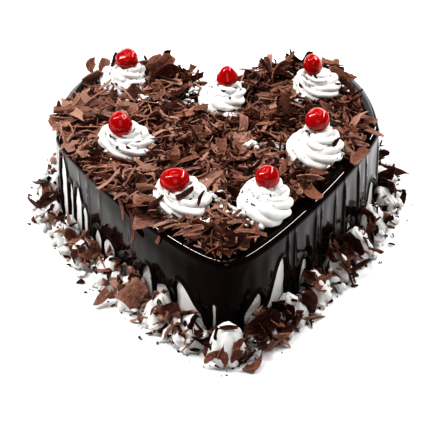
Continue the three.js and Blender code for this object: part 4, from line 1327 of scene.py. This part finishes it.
class HeartCakeSizes(bpy.types.PropertyGroup):
    """Sizes and counts that a baker would change."""
    ridge: FloatProperty(name="Rivulets", description="Height of the rivulets, 1 as measured",
                         default=1.0, min=0.0, max=2.0, subtype="FACTOR")
    swirl_turns: FloatProperty(name="Swirl turns", description="Turns of the piped rope in a swirl",
                               default=2.3, min=1.5, max=4.0)
    petal_depth: FloatProperty(name="Petal depth", description="Depth of the star nozzle's grooves",
                               default=0.42, min=0.0, max=0.6, subtype="FACTOR")
    flakes: IntProperty(name="Flakes", description="Flakes strewn over the top",
                        default=2050, min=200, max=2500)
    shreds: IntProperty(name="Shreds", description="Thin splinters over the top",
                        default=2600, min=0, max=6000)
    border_flakes: IntProperty(name="Border flakes", description="Flakes pressed on the border",
                               default=650, min=100, max=2000)
    bank_flakes: IntProperty(name="Bank flakes", description="Flakes heaped between the dollops",
                             default=290, min=0, max=1000)
    border_lumps: IntProperty(name="Border lumps", description="Lumps of cream between the dollops",
                              default=460, min=0, max=1000)
    cream_bits: IntProperty(name="Cream bits", description="Bits of cream between the flakes",
                            default=220, min=0, max=1000)
    specks: IntProperty(name="Specks", description="Crumbs stuck on each swirl", default=46, min=0, max=200)
    crumbs: IntProperty(name="Crumbs", description="Crumbs beside the border", default=260, min=0, max=1000)
    softbox: FloatProperty(name="Softbox", description="Side of the large overhead light",
                           default=1.0, min=0.2, max=4.0, unit="LENGTH")


class HeartCakeColours(bpy.types.PropertyGroup):
    """Colours of the cake's finishes, in linear values."""
    cream: FloatVectorProperty(name="Cream", description="Whipped cream", subtype="COLOR", size=3,
                               default=(0.78, 0.775, 0.765), min=0, max=1)
    glaze: FloatVectorProperty(name="Glaze", description="Poured chocolate glaze", subtype="COLOR", size=3,
                               default=(0.0036, 0.0014, 0.0013), min=0, max=1)
    cherry: FloatVectorProperty(name="Cherry", description="Glace cherry", subtype="COLOR", size=3,
                                default=(0.46, 0.002, 0.003), min=0, max=1)
    flake: FloatVectorProperty(name="Flake", description="Shaved chocolate of middle tone", subtype="COLOR",
                               size=3, default=(0.134, 0.0535, 0.0345), min=0, max=1)


class HEARTCAKE_OT_body(bpy.types.Operator):
    """Spread the cream coat of the cake body"""
    bl_idname = "heart_cake.body"
    bl_label = "Cake body"

    def execute(self, context):
        add_cream("cream_coat", coat_surface(), "cake_body")
        return {"FINISHED"}


class HEARTCAKE_OT_glaze(bpy.types.Operator):
    """Pour the chocolate glaze with its drips and windows"""
    bl_idname = "heart_cake.glaze"
    bl_label = "Chocolate glaze"

    def execute(self, context):
        shell = glaze_surface(context.scene.heart_cake_sizes.ridge)
        make_piece("poured_glaze", *shell, "chocolate_glaze", "glaze", "chocolate_glaze")
        return {"FINISHED"}


class HEARTCAKE_OT_swirls(bpy.types.Operator):
    """Pipe the seven cream swirls and strew specks on them"""
    bl_idname = "heart_cake.swirls"
    bl_label = "Cream swirls"

    def execute(self, context):
        sizes = context.scene.heart_cake_sizes
        grids = [swirl_rope(number, sizes.swirl_turns, sizes.petal_depth) for number in range(len(SWIRLS))]
        for number, grid in enumerate(grids, 1):
            add_cream(f"piped_swirl_{number}", tube_faces(grid), f"cream_swirl_{number}")
        add_flakes("swirl_specks", *swirl_specks(np.random.default_rng(SPECKS_SEED), grids, sizes.specks))
        return {"FINISHED"}


class HEARTCAKE_OT_cherries(bpy.types.Operator):
    """Set a cherry on each swirl"""
    bl_idname = "heart_cake.cherries"
    bl_label = "Cherries"

    def execute(self, context):
        for number in range(len(SWIRLS)):
            make_piece(f"glace_cherry_{number + 1}", *cherry_surface(number), "glace_cherry", "cherry",
                       f"cherry_{number + 1}")
        return {"FINISHED"}


class HEARTCAKE_OT_flakes(bpy.types.Operator):
    """Strew the chocolate flakes over their bed of crumbs"""
    bl_idname = "heart_cake.flakes"
    bl_label = "Chocolate flakes"

    def execute(self, context):
        sizes = context.scene.heart_cake_sizes
        make_piece("crumb_bed", *core_surface(), "crumb_bed", "chocolate", "chocolate_flakes")
        rng = np.random.default_rng(FLAKES_SEED)
        add_flakes("strewn_flakes", large_flakes(rng), heaped_flakes(rng, sizes.flakes))
        add_flakes("laid_flakes", laid_flakes(rng), rolled_flake(rng))
        add_cream("stray_cream", stray_cream(rng, sizes.cream_bits))
        add_flakes("strewn_shreds", fine_shreds(rng, sizes.shreds))
        return {"FINISHED"}


class HEARTCAKE_OT_border(bpy.types.Operator):
    """Pipe the border and press flakes on it"""
    bl_idname = "heart_cake.border"
    bl_label = "Cream border"

    def execute(self, context):
        sizes = context.scene.heart_cake_sizes
        centres = border_centres()
        grids = []
        for i in range(len(centres)):
            grid, shell = dollop_surface(centres, i)
            grids.append(grid)
            add_cream(f"piped_dollop_{i + 1:02d}", shell, f"cream_border_{i + 1:02d}")
        rng = np.random.default_rng(BORDER_SEED)
        add_cream("border_cream", border_lumps(rng, sizes.border_lumps))
        add_flakes("border_flakes", border_flakes(rng, grids, sizes.border_flakes),
                   bank_flakes(rng, sizes.bank_flakes))
        add_flakes("fallen_crumbs", floor_crumbs(rng, centres, sizes.crumbs))
        return {"FINISHED"}


def add_softbox(name, first, last, width, power):
    """Rectangular area light between two places in metres, of the given width, facing the cake."""
    first, last = Vector(first), Vector(last)
    place = (first + last) / 2
    back = (place - Vector(LIGHT_TARGET)).normalized()
    along = (last - first) - back * (last - first).dot(back)
    light = bpy.data.lights.new(name, "AREA")
    light.shape = "RECTANGLE"
    light.size = along.length
    light.size_y = width
    light.energy = power
    lamp = bpy.data.objects.new(name, light)
    along.normalize()
    turn = Matrix((along, back.cross(along), back)).transposed().to_4x4()
    lamp.matrix_world = Matrix.Translation(place) @ turn
    bpy.context.scene.collection.objects.link(lamp)


class HEARTCAKE_OT_stage(bpy.types.Operator):
    """Lay the pale floor and set the studio light and the camera"""
    bl_idname = "heart_cake.stage"
    bl_label = "Stage"

    def execute(self, context):
        scene = context.scene
        self.add_floor()
        half = scene.heart_cake_sizes.softbox / 2
        left, right = ((side * half, OVERHEAD["y"], OVERHEAD["z"]) for side in (-1, 1))
        add_softbox("overhead", left, right, 2 * half, OVERHEAD["power"])
        for row in SOFTBOXES:
            add_softbox(*row)
        world = bpy.data.worlds.new("studio")
        world.use_nodes = True
        set_inputs(world.node_tree.nodes["Background"], Color=(1, 1, 1, 1), Strength=WORLD_LIGHT)
        scene.world = world
        scene.view_settings.view_transform = "Standard"
        scene.view_settings.look = "High Contrast"
        self.add_camera(scene)
        return {"FINISHED"}

    def add_floor(self):
        """Square of 8 m, just under the cake."""
        mesh = bpy.data.meshes.new("floor")
        signs = ((-1, -1), (1, -1), (1, 1), (-1, 1))
        corners = [(x * FLOOR["half"], y * FLOOR["half"], FLOOR["z"]) for x, y in signs]
        mesh.from_pydata(corners, [], [(0, 1, 2, 3)])
        mesh.materials.append(floor_material())
        floor = bpy.data.objects.new("floor", mesh)
        bpy.context.scene.collection.objects.link(floor)

    def add_camera(self, scene):
        """Camera on a sphere round the target, turned by its roll."""
        azimuth, elevation, roll = (math.radians(VIEW[k]) for k in ("azimuth", "elevation", "roll"))
        back = Vector((math.sin(azimuth) * math.cos(elevation), -math.cos(azimuth) * math.cos(elevation),
                       math.sin(elevation)))
        side = (-back).cross(Vector((0, 0, 1))).normalized()
        up = side.cross(-back)
        right = side * math.cos(roll) + up * math.sin(roll)
        head = up * math.cos(roll) - side * math.sin(roll)
        data = bpy.data.cameras.new("photo_view")
        data.lens = VIEW["lens"]
        data.sensor_width = 36.0
        data.clip_end = 20.0
        camera = bpy.data.objects.new("photo_view", data)
        turn = Matrix((right, head, back)).transposed().to_4x4()
        place = (Vector(VIEW_TARGET) + back * VIEW["distance"]) * MM
        camera.matrix_world = Matrix.Translation(place) @ turn
        scene.collection.objects.link(camera)
        scene.camera = camera


class HEARTCAKE_PT_panel(bpy.types.Panel):
    """The cake's pieces and sizes in the sidebar"""
    bl_label = "Heart cake"
    bl_space_type = "VIEW_3D"
    bl_region_type = "UI"
    bl_category = "Heart cake"

    def draw(self, context):
        scene = context.scene
        for group in (scene.heart_cake_sizes, scene.heart_cake_colours):
            for key in group.bl_rna.properties.keys():
                if key not in ("rna_type", "name"):
                    self.layout.prop(group, key)
        for operator in OPERATORS:
            self.layout.operator(operator.bl_idname)


OPERATORS = (
    HEARTCAKE_OT_stage, HEARTCAKE_OT_body, HEARTCAKE_OT_glaze, HEARTCAKE_OT_swirls,
    HEARTCAKE_OT_cherries, HEARTCAKE_OT_flakes, HEARTCAKE_OT_border,
)
CLASSES = (HeartCakeSizes, HeartCakeColours, *OPERATORS, HEARTCAKE_PT_panel)


def register():
    """Register the classes and hang the sizes and colours on the scene."""
    for item in CLASSES:
        bpy.utils.register_class(item)
    bpy.types.Scene.heart_cake_sizes = PointerProperty(type=HeartCakeSizes)
    bpy.types.Scene.heart_cake_colours = PointerProperty(type=HeartCakeColours)


def unregister():
    """Take back what register did."""
    del bpy.types.Scene.heart_cake_colours
    del bpy.types.Scene.heart_cake_sizes
    for item in reversed(CLASSES):
        bpy.utils.unregister_class(item)


def main():
    """Register the add-on and make every piece in order."""
    register()
    bpy.ops.heart_cake.stage()
    bpy.ops.heart_cake.body()
    bpy.ops.heart_cake.glaze()
    bpy.ops.heart_cake.swirls()
    bpy.ops.heart_cake.cherries()
    bpy.ops.heart_cake.flakes()
    bpy.ops.heart_cake.border()


if __name__ == "__main__":
    main()
